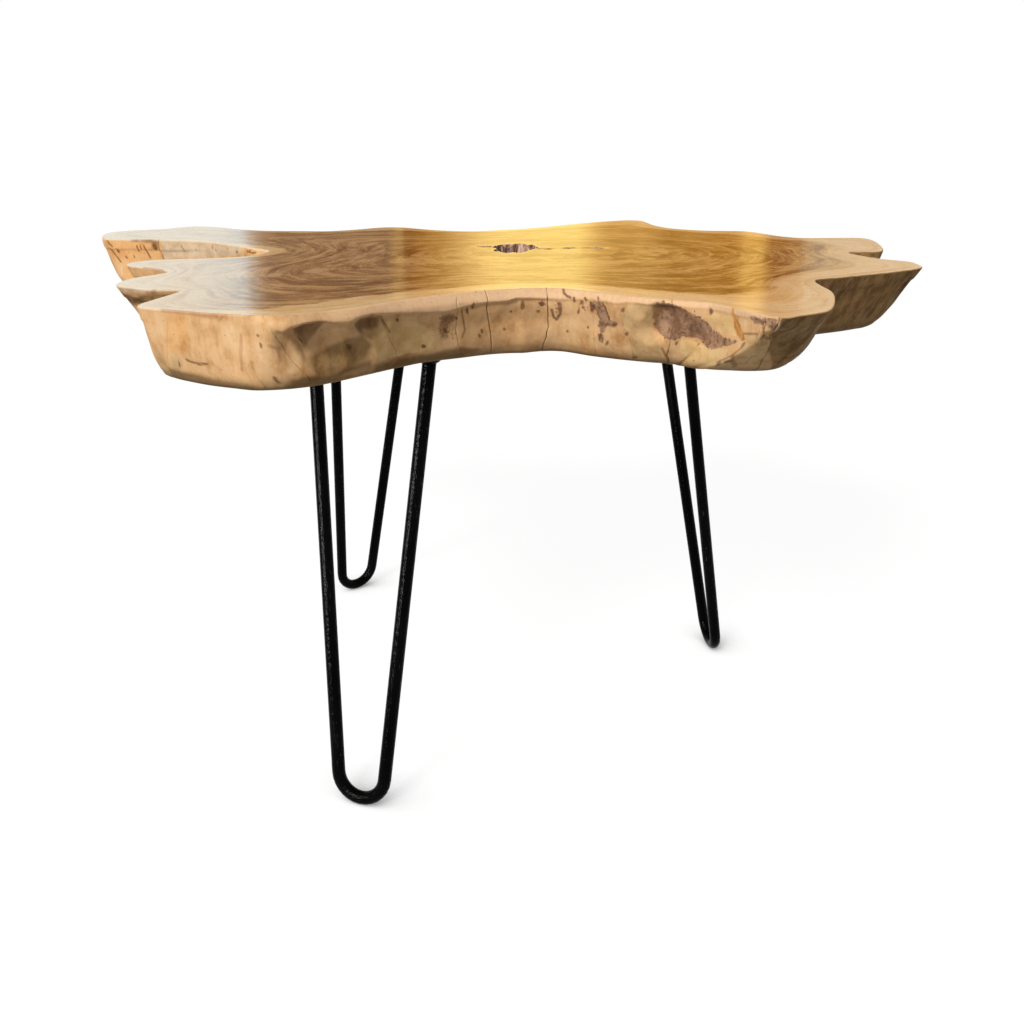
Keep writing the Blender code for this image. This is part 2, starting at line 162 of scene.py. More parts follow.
# Patches on the live edge, as outlines in photo pixels
PATCHES = {
    # Dark marks, and painted shade in the scoops under the crease, in the notch, the hole and other cavities
    "smudge_and_painted_shade": (
        ((297, 332), (301, 326), (309, 323), (320, 322), (327, 323), (325, 333), (319, 341), (312, 348),
         (306, 341), (302, 337)),
        ((359, 325), (365, 319), (376, 315), (384, 317), (385, 328), (378, 332), (371, 331), (366, 339),
         (363, 333)),
        ((350, 346), (356, 344), (359, 350), (355, 354), (351, 352)),
        ((441, 328), (444, 316), (451, 314), (456, 318), (451, 326), (450, 339), (444, 341)),
        ((649, 320), (650, 306), (656, 303), (664, 302), (668, 310), (660, 312), (655, 320), (655, 332),
         (650, 329)),
        ((782, 319), (790, 319), (787, 326), (781, 334), (777, 339), (779, 328)),
        ((816, 282), (821, 279.5), (834, 277), (836, 283), (833, 289), (825, 288)),
        ((147, 293), (155, 290), (158, 295), (156, 297), (147, 298)),
        ((120, 293), (135, 296), (146, 294), (150, 298), (141, 304), (133, 306)),
        ((171, 292), (173.5, 288.5), (176, 292)),
        ((152, 240), (158, 241), (158, 249), (154, 249)),
        ((131, 239), (152, 239), (152, 242), (131, 242)),
        ((866, 296), (884, 297), (884, 302), (866, 303)),
    ),
    "bark": (
        ((590, 302), (598, 301), (602, 305), (605, 312), (609, 319), (614, 323), (616, 327), (611, 327),
         (606, 326), (604, 332), (600, 334), (598, 327), (597, 318), (594, 312), (590, 310)),
        ((598, 333), (604, 334), (603, 342), (599, 341)),
        ((649, 318), (651, 307), (657, 303), (664, 302), (672, 304), (680, 307), (688, 311), (700, 318),
         (706, 325), (712, 331), (720, 336), (730, 339), (735, 342), (730, 345), (722, 347), (712, 349),
         (704, 345), (698, 340), (690, 338), (682, 337), (676, 340), (668, 341), (660, 336), (653, 331)),
        ((748, 316), (756, 317), (770, 319), (778, 319), (777, 326), (772, 333), (767, 326), (760, 325),
         (754, 322)),
        ((557, 302), (561, 303), (561, 309), (557, 309)),
        ((539, 302), (545, 301), (546, 307), (541, 309)),
    ),
    "cream_and_painted_light": (
        ((681, 338), (690, 340), (700, 345), (712, 350), (722, 349), (728, 350), (722, 357), (716, 361),
         (715, 367), (681, 364), (680, 350)),
        # Painted light: this outline lightens a low front stretch that the lamps leave too dark
        ((374, 338), (388, 322), (402, 320), (420, 324), (438, 334), (434, 350), (398, 356), (380, 361),
         (372, 350)),
        ((704, 318), (712, 313), (728, 311), (733, 320), (735, 336), (724, 334), (716, 330), (708, 324)),
    ),
    "olive": (
        ((623, 306), (628, 304), (645, 304), (649, 306), (648, 320), (649, 333), (655, 340), (662, 348),
         (662, 361), (633, 359), (630, 345), (626, 335), (623, 320)),
        ((744, 336), (757, 335), (771, 341), (770, 350), (757, 370), (736, 369), (733, 356), (742, 347)),
        ((716, 362), (730, 357), (734, 368), (716, 368)),
    ),
    "orange": (
        ((104, 240), (131, 240), (160, 240), (161, 259), (128, 262), (116, 262), (108, 252)),
        ((125, 266), (150, 267), (167, 270), (160, 274), (125, 277)),
        ((245, 248), (265, 248), (262, 254), (246, 254)),
        ((166, 312), (187, 314), (187, 350), (168, 352)),
    ),
    "pale": (
        ((162, 241), (200, 243), (240, 246), (241, 255), (205, 258), (163, 259)),
        ((117, 286), (140, 289), (166, 291), (150, 293), (128, 293)),
    ),
    # Painted shade on the right-facing flanks, the notch's face and a left lobe's face
    "shade": (
        ((781, 318), (800, 316), (833, 309), (838, 312), (825, 333), (800, 358), (775, 370), (760, 370),
         (770, 352), (774, 336)),
        ((815, 279), (840, 277), (880, 273), (922, 267), (923, 275), (905, 300), (880, 318), (855, 330),
         (824, 334), (828, 310), (830, 297), (822, 291), (815, 285)),
        ((118, 292), (135, 297), (160, 294), (137, 306), (130, 304)),
        ((843, 250), (866, 249), (882, 248), (883, 258), (845, 256)),
    ),
    # Painted shade: darkens undercuts and the bottom of the edge, where the surface turns away from the light
    "painted_undercut_shade": (
        ((314, 360), (330, 350), (352, 340), (366, 338), (374, 346), (368, 360), (344, 372), (316, 379)),
        ((168, 368), (180, 371), (192, 372.5), (205, 377), (226, 382), (256, 386), (256, 393), (226, 391),
         (200, 388), (176, 380)),
        ((290, 380), (330, 370), (372, 360), (372, 366), (330, 378), (290, 390)),
        ((376, 365), (398, 358), (430, 354), (462, 347), (480, 350), (462, 357), (430, 364), (398, 369),
         (376, 374)),
    ),
    "speckle": (
        ((573, 297), (590, 299), (592, 312), (584, 314), (575, 309)),
        ((537, 299), (548, 299), (548, 310), (538, 313)),
        ((590, 300), (603, 301), (606, 312), (594, 312)),
        ((597, 330), (606, 333), (607, 346), (599, 344)),
        ((438, 314), (458, 314), (458, 342), (440, 340)),
        ((550, 301), (562, 301), (563, 321), (551, 322)),
        ((843, 279), (872, 277), (866, 300), (846, 310)),
        ((352, 342), (362, 342), (360, 356), (351, 355)),
    ),
    "brown": (
        ((474, 308), (484, 304), (515, 300), (544, 300), (550, 312), (546, 340), (530, 350), (490, 352),
         (474, 345)),
        ((103, 239), (113, 241), (119, 250), (123, 262), (116, 263), (108, 253)),
    ),
}

# Small dark marks: photo pixel, half width and half height in pixels
SPOTS = (
    (257.5, 336, 1.2, 1.2), (260.5, 345.5, 1.2, 2.2), (399.5, 321, 1.5, 1.7), (425, 347, 2.1, 1.7),
    (447.5, 331.5, 1.6, 2.2), (457.5, 319, 1.2, 1.4), (468.5, 312, 1.2, 2.8), (474, 306, 1.2, 2.8),
    (482.5, 331, 1.1, 2.4), (480, 335.5, 1.1, 1.8), (504.5, 330, 1.2, 1.2), (512, 312, 1.2, 1.2),
    (523.5, 306, 1.6, 3.6), (539, 312, 1.6, 1.3), (542, 304, 1.5, 1.9), (574, 301, 1.1, 1.7),
    (580.5, 302, 1.4, 1.8), (582, 307, 1.5, 1.2), (585, 299.5, 1.3, 1.8), (578, 311, 1.1, 2.3),
    (573.5, 297.5, 1.0, 1.0), (598, 298, 1.1, 1.4), (567, 331.5, 1.1, 1.1), (587, 327.5, 1.2, 1.4),
    (607, 343, 1.3, 2.3), (614, 325, 2.2, 1.8), (600, 336, 1.4, 3.2), (593, 307, 1.4, 2.0),
    (621.5, 310, 1.3, 1.8), (626, 334.5, 1.6, 1.6), (635, 358, 2.3, 1.3), (676, 343, 1.3, 1.8),
    (694, 361, 1.0, 1.0), (698, 345, 1.0, 1.4), (686, 316, 1.2, 1.6), (711, 311, 1.6, 2.4),
    (846.5, 294.5, 1.6, 1.8), (848.5, 306, 1.6, 1.8), (849.5, 284, 1.4, 2.4), (126.5, 257.5, 0.9, 1.6),
    (134, 257, 0.9, 2.0), (274, 378, 1.4, 1.4), (354, 348, 1.8, 2.2), (118, 251, 1.6, 2.2),
    (141, 248, 0.8, 3.0), (155, 247, 2.2, 3.6), (182, 247, 0.8, 2.2), (184, 250, 0.7, 1.6),
    (212, 248, 0.8, 2.2), (216, 251, 0.7, 2.0), (237, 252, 1.6, 1.6), (228, 249, 0.8, 1.2),
    (250, 251, 1.2, 1.2), (196, 250, 0.6, 1.4), (171, 249, 0.6, 1.6), (856, 285.5, 1.2, 1.2),
    (840, 300, 1.1, 1.4), (865, 279, 1.2, 1.6), (872, 290, 0.9, 1.0), (832, 291, 1.0, 1.6),
)

# Streaks over the live edge: photo pixels that each one passes, and its half width in metres
STREAKS = {
    "spot": (
        (((186, 359.5), (192, 362), (199, 364), (206, 364.5)), 0.0009),
        (((178, 361), (179.5, 366)), 0.0008),
        (((563.5, 289.5), (564.5, 292.5), (567, 295.5), (570, 297.5)), 0.0012),
        (((552, 310), (553, 317), (556, 320), (559, 316), (560, 308)), 0.0010),
        (((304, 340), (309, 345)), 0.0008),
        (((110, 249), (116, 256), (120, 262)), 0.0011),
        (((107, 241), (112, 246)), 0.0010),
        (((137, 246), (139, 251)), 0.0009),
        (((144, 246), (147, 252), (150, 258)), 0.0010),
        (((247, 251), (251, 253), (256, 253)), 0.0009),
        (((275, 379), (278, 383)), 0.0010),
        (((590, 303), (591, 311)), 0.0012),
        (((602, 305), (606, 313), (609, 320)), 0.0008),
    ),
    "red": (
        (((163, 310.5), (176, 312), (190, 313), (203, 315), (216, 316.5)), 0.0016),
        (((240.5, 335), (240.5, 347), (241, 352), (242, 362), (242, 370)), 0.0012),
        (((219, 321), (223, 317)), 0.0010),
        (((269, 345.5), (275, 348)), 0.0014),
        (((143, 267), (155, 268.5), (163, 269)), 0.0012),
        (((283, 345), (278, 352), (281, 362)), 0.0012),
    ),
    "resin": (
        (((733.5, 306), (733, 312), (734.4, 318), (734, 327), (737.5, 334), (742.5, 340.5)), 0.0012),
        (((734.4, 318), (738, 325), (740, 332), (742.5, 340.5)), 0.0009),
    ),
    "hairline": (
        (((743, 343), (741, 348), (736, 352), (732, 355), (733, 361), (735, 367)), 0.0012),
        (((732, 355), (726, 357.5), (719, 361), (717, 366)), 0.0012),
        (((743, 333.5), (750, 333.5), (757, 334), (763, 337), (771, 340)), 0.0012),
        (((662, 348), (666, 355), (669, 362)), 0.0010),
        (((463, 310), (464, 320), (466, 330), (463, 338)), 0.0010),
        (((385, 318), (389, 325), (392, 333)), 0.0010),
    ),
    # Painted highlight: pale lines on the lit lip of the front right lobe's crack
    "pale": (
        (((781, 320), (779, 325), (777, 330)), 0.0010),
        (((769, 354), (764, 361), (758, 369)), 0.0010),
    ),
}

# Marks scattered over the sides that the photo hides: how many, then ranges of half sizes and of depth
SCATTER_SEED = 23
SCATTER = {
    "scoop": (20, (0.010, 0.028), (0.010, 0.022), (0.026, 0.044)),
    "olive": (16, (0.020, 0.045), (0.014, 0.026), (0.020, 0.054)),
    "orange": (7, (0.014, 0.030), (0.012, 0.024), (0.016, 0.040)),
    "brown": (9, (0.024, 0.050), (0.014, 0.024), (0.020, 0.046)),
    "smudge_and_painted_shade": (9, (0.005, 0.014), (0.005, 0.011), (0.014, 0.034)),
    "bark": (8, (0.005, 0.024), (0.005, 0.012), (0.016, 0.042)),
    "speckle": (14, (0.008, 0.018), (0.007, 0.014), (0.014, 0.044)),
    "red": (16, (0.0010, 0.0030), (0.008, 0.018), (0.012, 0.040)),
    "spot": (150, (0.0010, 0.0024), (0.0010, 0.0032), (0.012, 0.050)),
}

# Checks in the flat top: the two photo pixels of its ends, and a half width in metres
TOP_CHECKS = (
    ((537, 248.6), (552, 249.4), 0.0045),
    ((563, 248.4), (574, 248.2), 0.0040),
    ((586, 247.6), (605, 248.4), 0.0055),
    ((493, 247.2), (476, 246.4), 0.0035),
)
CHECK_DEPTH = 0.0035

# Light flecks in the top: photo pixel of the middle, and half sizes in metres
FLECKS = (
    ((275, 275), (0.007, 0.014)), ((313, 271), (0.010, 0.015)), ((252, 262), (0.008, 0.010)),
)


def photo_pixels(points):
    """Where points show in the photo, and how far they are from the camera."""
    across, ahead, above = np.moveaxis(np.asarray(points) - np.array(CAMERA_PLACE), -1, 0)
    distance = ahead * cos(CAMERA_TILT) - above * sin(CAMERA_TILT)
    height = ahead * sin(CAMERA_TILT) + above * cos(CAMERA_TILT)
    x = PRINCIPAL_POINT[0] + FOCAL_PIXELS * across / distance
    y = PRINCIPAL_POINT[1] - FOCAL_PIXELS * height / distance
    return x, y, distance


def on_level(pixel, height):
    """The plan point that a photo pixel shows on a level plane."""
    right = (pixel[0] - PRINCIPAL_POINT[0]) / FOCAL_PIXELS
    down = (pixel[1] - PRINCIPAL_POINT[1]) / FOCAL_PIXELS
    ahead = cos(CAMERA_TILT) - down * sin(CAMERA_TILT)
    fall = sin(CAMERA_TILT) + down * cos(CAMERA_TILT)
    reach = (CAMERA_PLACE[2] - height) / fall
    return np.array((CAMERA_PLACE[0] + right * reach, CAMERA_PLACE[1] + ahead * reach))


def level_loops(mesh):
    """Closed loops of level edges on a solid, by height, longest first, each counter-clockwise."""
    work = bmesh.new()
    work.from_mesh(mesh)
    bmesh.ops.remove_doubles(work, verts=work.verts, dist=1e-6)
    neighbours = {}
    for edge in work.edges:
        first, second = edge.verts
        height = round(first.co.z, 5)
        if round(second.co.z, 5) != height:
            continue
        if all(all(round(v.co.z, 5) == height for v in face.verts) for face in edge.link_faces):
            continue
        links = neighbours.setdefault(height, {})
        links.setdefault(first, []).append(second)
        links.setdefault(second, []).append(first)
    loops = {height: walk_loops(links) for height, links in neighbours.items()}
    work.free()
    return loops


def walk_loops(links):
    loops = []
    left = dict(links)
    while left:
        here = next(iter(left))
        loop = []
        while here is not None:
            loop.append(tuple(here.co))
            following = [vert for vert in left.pop(here) if vert in left]
            here = following[0] if following else None
        points = np.array(loop)
        loops.append(points if signed_area(points) > 0 else points[::-1])
    return sorted(loops, key=len, reverse=True)


def signed_area(points):
    after = np.roll(points, -1, axis=0)
    return np.sum(points[:, 0] * after[:, 1] - points[:, 1] * after[:, 0]) / 2


def closed_steps(points):
    return np.linalg.norm(np.roll(points, -1, axis=0) - points, axis=1)


def smooth_step(value):
    value = np.clip(value, 0.0, 1.0)
    return value * value * (3 - 2 * value)


def inside(points, outline):
    """Which plan points lie inside a closed outline."""
    result = np.zeros(len(points), bool)
    after = np.roll(outline, -1, axis=0)
    for (x0, y0), (x1, y1) in zip(outline, after):
        crosses = (y0 > points[:, 1]) != (y1 > points[:, 1])
        with np.errstate(divide="ignore", invalid="ignore"):
            meets = x0 + (points[:, 1] - y0) * (x1 - x0) / (y1 - y0)
        result ^= crosses & (points[:, 0] < meets)
    return result


def nearest_gap(points, outline):
    """Distance from each plan point to the nearest corner of an outline."""
    gaps = np.empty(len(points))
    for start in range(0, len(points), 500):
        part = points[start:start + 500]
        gaps[start:start + 500] = np.sqrt(((part[:, None] - outline[None]) ** 2).sum(axis=2).min(axis=1))
    return gaps


class Rim:
    """The slab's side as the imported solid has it: level rings, read at any way round and any depth."""

    def __init__(self, loops):
        heights = sorted((height for height, found in loops.items() if len(found[0]) > 150), reverse=True)
        rings = [loops[heights[0]][0]]
        for height in heights[1:]:
            ring = loops[height][0]
            shifts = [((np.roll(ring, k, axis=0) - rings[-1])[:, :2] ** 2).sum() for k in range(len(ring))]
            rings.append(np.roll(ring, int(np.argmin(shifts)), axis=0))
        self.top = heights[0]
        self.rings = np.array(rings)[:, :, :2]
        self.depths = np.array([self.top - height for height in heights])
        self.ways = np.concatenate([[0.0], np.cumsum(closed_steps(self.rings[3]))])
        self.length = self.ways[-1]
        self.thickness = self.depths[-1]
        self.look_up()

    def at(self, way, depth):
        """Plan points at ways round the rim and depths below the top, given as arrays of one shape."""
        count = self.rings.shape[1]
        place = np.interp(way % self.length, self.ways, np.arange(count + 1))
        base = np.floor(place).astype(int)
        t = (place - base)[..., None]
        p0, p1, p2, p3 = (self.rings[:, (base + k) % count] for k in (-1, 0, 1, 2))
        bend = 2 * p0 - 5 * p1 + 4 * p2 - p3 + t * (3 * p1 - p0 - 3 * p2 + p3)
        curves = p1 + 0.5 * t * (p2 - p0 + t * bend)
        slopes = np.gradient(curves, self.depths, axis=0)
        level = np.clip(np.searchsorted(self.depths, depth, side="right") - 1, 0, len(self.depths) - 2)
        span = (self.depths[level + 1] - self.depths[level])[..., None]
        u = ((depth - self.depths[level])[..., None]) / span
        pick = level[None, ..., None]
        low, high = (np.take_along_axis(curves, pick + k, axis=0)[0] for k in (0, 1))
        low_slope, high_slope = (np.take_along_axis(slopes, pick + k, axis=0)[0] for k in (0, 1))
        blend = u * u * (3 - 2 * u)
        return low + (high - low) * blend + span * u * (1 - u) * (low_slope * (1 - u) - high_slope * u)

    def outward(self, plan):
        """Outward directions of a grid of plan points whose first axis goes round the rim."""
        ahead = np.roll(plan, -1, axis=0) - np.roll(plan, 1, axis=0)
        ahead /= np.linalg.norm(ahead, axis=-1)[..., None] + 1e-12
        return np.stack([ahead[..., 1], -ahead[..., 0]], axis=-1)

    def look_up(self):
        """Prepares a grid of the side's places with the photo pixels that show them."""
        ways = np.arange(0.0, self.length, 0.001)
        depths = np.append(np.arange(0.0, self.thickness, 0.001), self.thickness)
        self.seen_way, self.seen_depth = np.meshgrid(ways, depths, indexing="ij")
        plan = self.at(self.seen_way, self.seen_depth)
        self.seen_plan = plan
        x, y, distance = photo_pixels(np.dstack([plan, self.top - self.seen_depth]))
        towards = np.array(CAMERA_PLACE[:2]) - plan
        hidden = (self.outward(plan) * towards).sum(axis=2) < 0
        self.seen_pixel = np.where(hidden[..., None], -1e3, np.stack([x, y], axis=2))
        self.seen_distance = distance

    def seek(self, pixel):
        """The way round the rim and the depth that a photo pixel shows."""
        off = ((self.seen_pixel - np.array(pixel)) ** 2).sum(axis=2)
        near = np.where(off < max(1.0, off.min() * 1.2), self.seen_distance, 1e3)
        front = near.min()
        place = np.argmin(np.where(near < front + 0.05, off, 1e6))
        return self.seen_way.flat[place], self.seen_depth.flat[place]

    def way_near(self, place):
        """The way round the rim that passes nearest a plan place."""
        off = ((self.seen_plan - np.array(place)) ** 2).sum(axis=2)
        return self.seen_way.flat[np.argmin(off)]

    def gap(self, ways, way):
        """Signed distance round the rim from one way to each of others, the short way."""
        return (ways - way + self.length / 2) % self.length - self.length / 2

    def path(self, pixels):
        """Photo pixels as ways round the rim, kept unbroken, and depths."""
        places = np.array([self.seek(pixel) for pixel in pixels])
        places[:, 0] = places[0, 0] + self.gap(places[:, 0], places[0, 0])
        return places


def column_ways(rim, cracks):
    """Ways of the mesh columns: closer where the edge faces the front, and five for each crack."""
    step = FINE_COLUMN / 2
    ways = np.arange(0.0, rim.length, step)
    plan = rim.at(ways, np.full(len(ways), rim.thickness / 2))
    facing = -rim.outward(plan)[:, 1]
    turns = np.cumsum(step / np.where(facing > 0.1, FINE_COLUMN, COARSE_COLUMN))
    columns = np.interp(np.arange(int(turns[-1])), turns, ways)
    for crack, path in cracks:
        centre = path[:, 0].mean()
        columns = columns[np.abs(rim.gap(columns, centre)) > crack.half_width + 0.0012]
        guard = crack.half_width + 0.0005
        offsets = np.array((-guard, -crack.half_width, 0.0, crack.half_width, guard))
        columns = np.append(columns, (centre + offsets) % rim.length)
    return np.sort(columns)


def all_cracks(rim):
    """Every crack with its path as ways and depths."""
    cracks = [(crack, rim.path(crack.path)) for crack in CRACKS]
    for x, y, top, bottom in HIDDEN_CRACKS:
        way = rim.way_near((x, y))
        depths = np.linspace(top, bottom, 4)
        drift = [0.004 * noise.noise(Vector((way * 30, depth * 40, 5.0))) for depth in depths]
        cracks.append((Crack((), 0.0007, 0.0026, 0.85), np.column_stack([way + np.array(drift), depths])))
    return cracks


class Side:
    """The live edge as a grid of points: columns round the rim, rows down it, with marks on them."""

    def __init__(self, rim):
        self.rim = rim
        self.cracks = all_cracks(rim)
        self.start = column_ways(rim, self.cracks)
        self.columns = len(self.start)
        self.set_creases()
        self.way = np.repeat(self.start[:, None], self.rows, axis=1)
        self.follow_cracks()
        self.plan = rim.at(self.way, self.depth)
        self.out = rim.outward(self.plan)
        self.push = np.zeros(self.depth.shape)
        self.swell, self.ripple = self.noise_over(26, 20), self.noise_over(110, 45)
        self.marks = {"bevel": np.repeat(self.bevel[:, None], self.rows, axis=1)}

    def set_creases(self):
        """Depths of the rows: close together over the softened edge, with one row along the crease."""
        places = self.rim.path([pixel for pixel, step in CREASE])
        steps = np.array([step for pixel, step in CREASE])
        along = self.rim.gap(self.start, places[0, 0]) % self.rim.length
        measured = along < places[-1, 0] - places[0, 0]
        turn = 2 * pi * self.start / self.rim.length
        wave = [noise.noise(Vector((9 * cos(a), 9 * sin(a), 2.0))) for a in turn]
        wave = np.array(wave)
        depth = DEFAULT_CREASE + 0.003 * wave
        step = np.clip(0.0012 + 0.0016 * wave, 0.0, None)
        order = np.argsort(places[:, 0])
        runs = places[order, 0] - places[0, 0]
        depth = np.where(measured, np.interp(along, runs, places[order, 1]), depth)
        self.crease_step = np.where(measured, np.interp(along, runs, steps[order]), step)
        self.bevel = np.where(measured, np.clip(self.crease_step / 0.0008, 0.0, 1.0), 0.2)
        soft = np.array((0.0, 0.25, 0.6)) * EDGE_ROUND
        upper = np.linspace(0.0, 1.0, int(DEFAULT_CREASE / ROW_STEP))
        lower = np.linspace(0.0, 1.0, int((self.rim.thickness - DEFAULT_CREASE) / ROW_STEP))[1:]
        depth = np.clip(depth, 0.004, 0.02)[:, None]
        self.depth = np.hstack([
            np.repeat(soft[None, :], self.columns, axis=0),
            EDGE_ROUND + (depth - EDGE_ROUND) * upper,
            depth + (self.rim.thickness - depth) * lower,
        ])
        self.crease = depth
        self.rows = self.depth.shape[1]

    def follow_cracks(self):
        """Bends the columns beside each crack so that they run along it."""
        for crack, path in self.cracks:
            centre = path[:, 0].mean()
            column = np.argmin(np.abs(self.rim.gap(self.start, centre)))
            depths = self.depth[column]
            order = np.argsort(path[:, 1])
            wander = [0.0005 * noise.noise(Vector((centre * 50, depth * 200, 0))) for depth in depths]
            shift = np.interp(depths, path[order, 1], path[order, 0]) - centre + np.array(wander)
            reach = 0.002 + 2.5 * np.abs(shift).max()
            away = np.abs(self.rim.gap(self.start, centre)) - crack.half_width - 0.0006
            self.way += smooth_step(1 - away / reach)[:, None] * shift[None, :]

    def noise_over(self, across, down):
        """One noise value for each point, with a frequency round the rim and another down it."""
        places = np.dstack([self.plan * across, self.depth * down]).reshape(-1, 3)
        return np.array([noise.noise(Vector(place)) for place in places]).reshape(self.depth.shape)

    def ellipse(self, place, half_width, half_height):
        """How far each point is from a way and depth, in shares of a half width and half height."""
        way, depth = place
        return np.hypot(self.rim.gap(self.way, way) / half_width, (self.depth - depth) / half_height)

    def mark(self, name, values):
        mark = self.marks.setdefault(name, np.zeros(self.depth.shape))
        np.maximum(mark, values, out=mark)

    def spots_near(self, way):
        """Every point as a way, unbroken on both sides of the one given, and a depth."""
        return np.dstack([way + self.rim.gap(self.way, way), self.depth]).reshape(-1, 2)

    def mark_spots(self):
        for x, y, half_width, half_height in SPOTS:
            away = self.ellipse(self.rim.seek((x, y)), half_width * 0.001, half_height * 0.001)
            self.mark("spot", smooth_step(1.45 - 0.8 * away))

    def mark_patches(self, name, soft):
        """Marks what lies inside outlines, fading over a soft border."""
        for outline in PATCHES[name]:
            corners = self.rim.path(outline)
            spots = self.spots_near(corners[0, 0])
            away = np.full(len(spots), 1.0)
            for start, end in zip(corners, np.roll(corners, -1, axis=0)):
                away = np.minimum(away, segment_gap(spots, start, end))
            away = np.where(inside(spots, corners), away, -away)
            self.mark(name, smooth_step(0.5 + away / (2 * soft)).reshape(self.depth.shape))

    def mark_streaks(self, name):
        for pixels, half_width in STREAKS[name]:
            places = self.rim.path(pixels)
            spots = self.spots_near(places[0, 0])
            away = np.full(len(spots), 1.0)
            for start, end in zip(places[:-1], places[1:]):
                away = np.minimum(away, segment_gap(spots, start, end))
            self.mark(name, np.clip(1.25 - 0.65 * away / half_width, 0.0, 1.0).reshape(self.depth.shape))

    def add_cracks(self):
        for crack, path in self.cracks:
            column = int(np.argmin(np.abs(self.rim.gap(self.start, path[:, 0].mean()))))
            rows = self.depth[column]
            first, last = path[:, 1].min(), path[:, 1].max()
            fade = smooth_step((rows - first) / 0.003 + 1) * smooth_step((last - rows) / 0.006 + 1)
            flow = [0.75 + 0.5 * noise.noise(Vector((column * 3.7, row * 220, 1.0))) for row in rows]
            fade = fade * np.clip(flow, 0.2, 1.0)
            self.push[column] -= crack.deep * fade
            values = np.zeros(self.depth.shape)
            values[column] = crack.dark * fade
            for beside in (column - 1, (column + 1) % self.columns):
                values[beside] = 0.12 * crack.dark * fade
            self.mark("crack", values)

    def add_creases(self):
        below = np.clip(self.depth - self.crease, 0.0, None)
        recess = (1 - np.exp(-below / 0.0010)) * (1 - smooth_step((below - 0.012) / 0.028))
        self.push -= self.crease_step[:, None] * recess

    def add_scoops(self):
        for pixel, half_width, half_height, deep in SCOOPS:
            self.dent(self.ellipse(self.rim.seek(pixel), half_width, half_height), deep)

    def dent(self, away, deep):
        share = np.clip(1 - away**2, 0.0, 1.0)
        self.push -= deep * share**1.1 * smooth_step((self.depth - self.crease) / 0.004 + 0.5)

    def scatter_marks(self):
        """Gives the sides that the photo hides the same kinds of marks, at places drawn from a fixed seed."""
        draw = np.random.RandomState(SCATTER_SEED)
        towards = np.array(CAMERA_PLACE[:2]) - self.plan[:, 0]
        hidden = self.start[(self.out[:, self.rows // 2] * towards).sum(axis=1) < 0]
        for name, (count, *ranges) in SCATTER.items():
            for _ in range(count):
                half_width, half_height, depth = (draw.uniform(low, high) for low, high in ranges)
                away = self.ellipse((draw.choice(hidden), depth), half_width, half_height)
                if name == "scoop":
                    self.dent(away, 0.16 * half_width)
                else:
                    self.mark(name, smooth_step(1.45 - 0.8 * away - 0.7 * self.swell - 0.8 * self.ripple))

    def add_roughness(self):
        """Slow swells and small ripples, none at the top rim or the underside."""
        fade = smooth_step(self.depth / 0.010) * smooth_step((self.rim.thickness - self.depth) / 0.006)
        self.push += fade * (0.0011 * self.swell + 0.0004 * self.ripple)

    def round_edge(self):
        near = np.clip(EDGE_ROUND - self.depth, 0.0, None)
        self.push -= EDGE_ROUND - np.sqrt(EDGE_ROUND**2 - near**2)

    def points(self):
        plan = self.plan + self.out * self.push[:, :, None]
        return np.dstack([plan, self.rim.top - self.depth])


def segment_gap(points, start, end):
    """Distance from each plan point to a straight segment."""
    run = end - start
    along = np.clip((points - start) @ run / max(run @ run, 1e-12), 0.0, 1.0)
    return np.linalg.norm(points - start - along[:, None] * run, axis=1)


def make_side(rim):
    side = Side(rim)
    side.add_creases()
    side.add_scoops()
    side.scatter_marks()
    side.add_cracks()
    side.add_roughness()
    side.round_edge()
    side.mark_spots()
    for name, soft in (("smudge_and_painted_shade", 0.006), ("bark", 0.003), ("cream_and_painted_light", 0.004), ("olive", 0.005),
                       ("orange", 0.008), ("brown", 0.012), ("shade", 0.004), ("pale", 0.006),
                       ("speckle", 0.004), ("painted_undercut_shade", 0.006)):
        side.mark_patches(name, soft)
    for name in STREAKS:
        side.mark_streaks(name)
    side.marks["crease_gap"] = side.depth - side.crease
    return side


def hex_grid(low, high, step):
    """Plan points in staggered rows over a box, each moved a little."""
    points = []
    rows = int((high[1] - low[1]) / (step * sin(pi / 3))) + 1
    for row in range(rows):
        for place in range(int((high[0] - low[0]) / step) + 1):
            x = low[0] + (place + 0.5 * (row % 2)) * step
            y = low[1] + row * step * sin(pi / 3)
            nudge_x = noise.noise(Vector((x * 90, y * 90, 0.0)))
            nudge_y = noise.noise(Vector((x * 90, y * 90, 5.0)))
            points.append((x + 0.15 * step * nudge_x, y + 0.15 * step * nudge_y))
    return np.array(points)


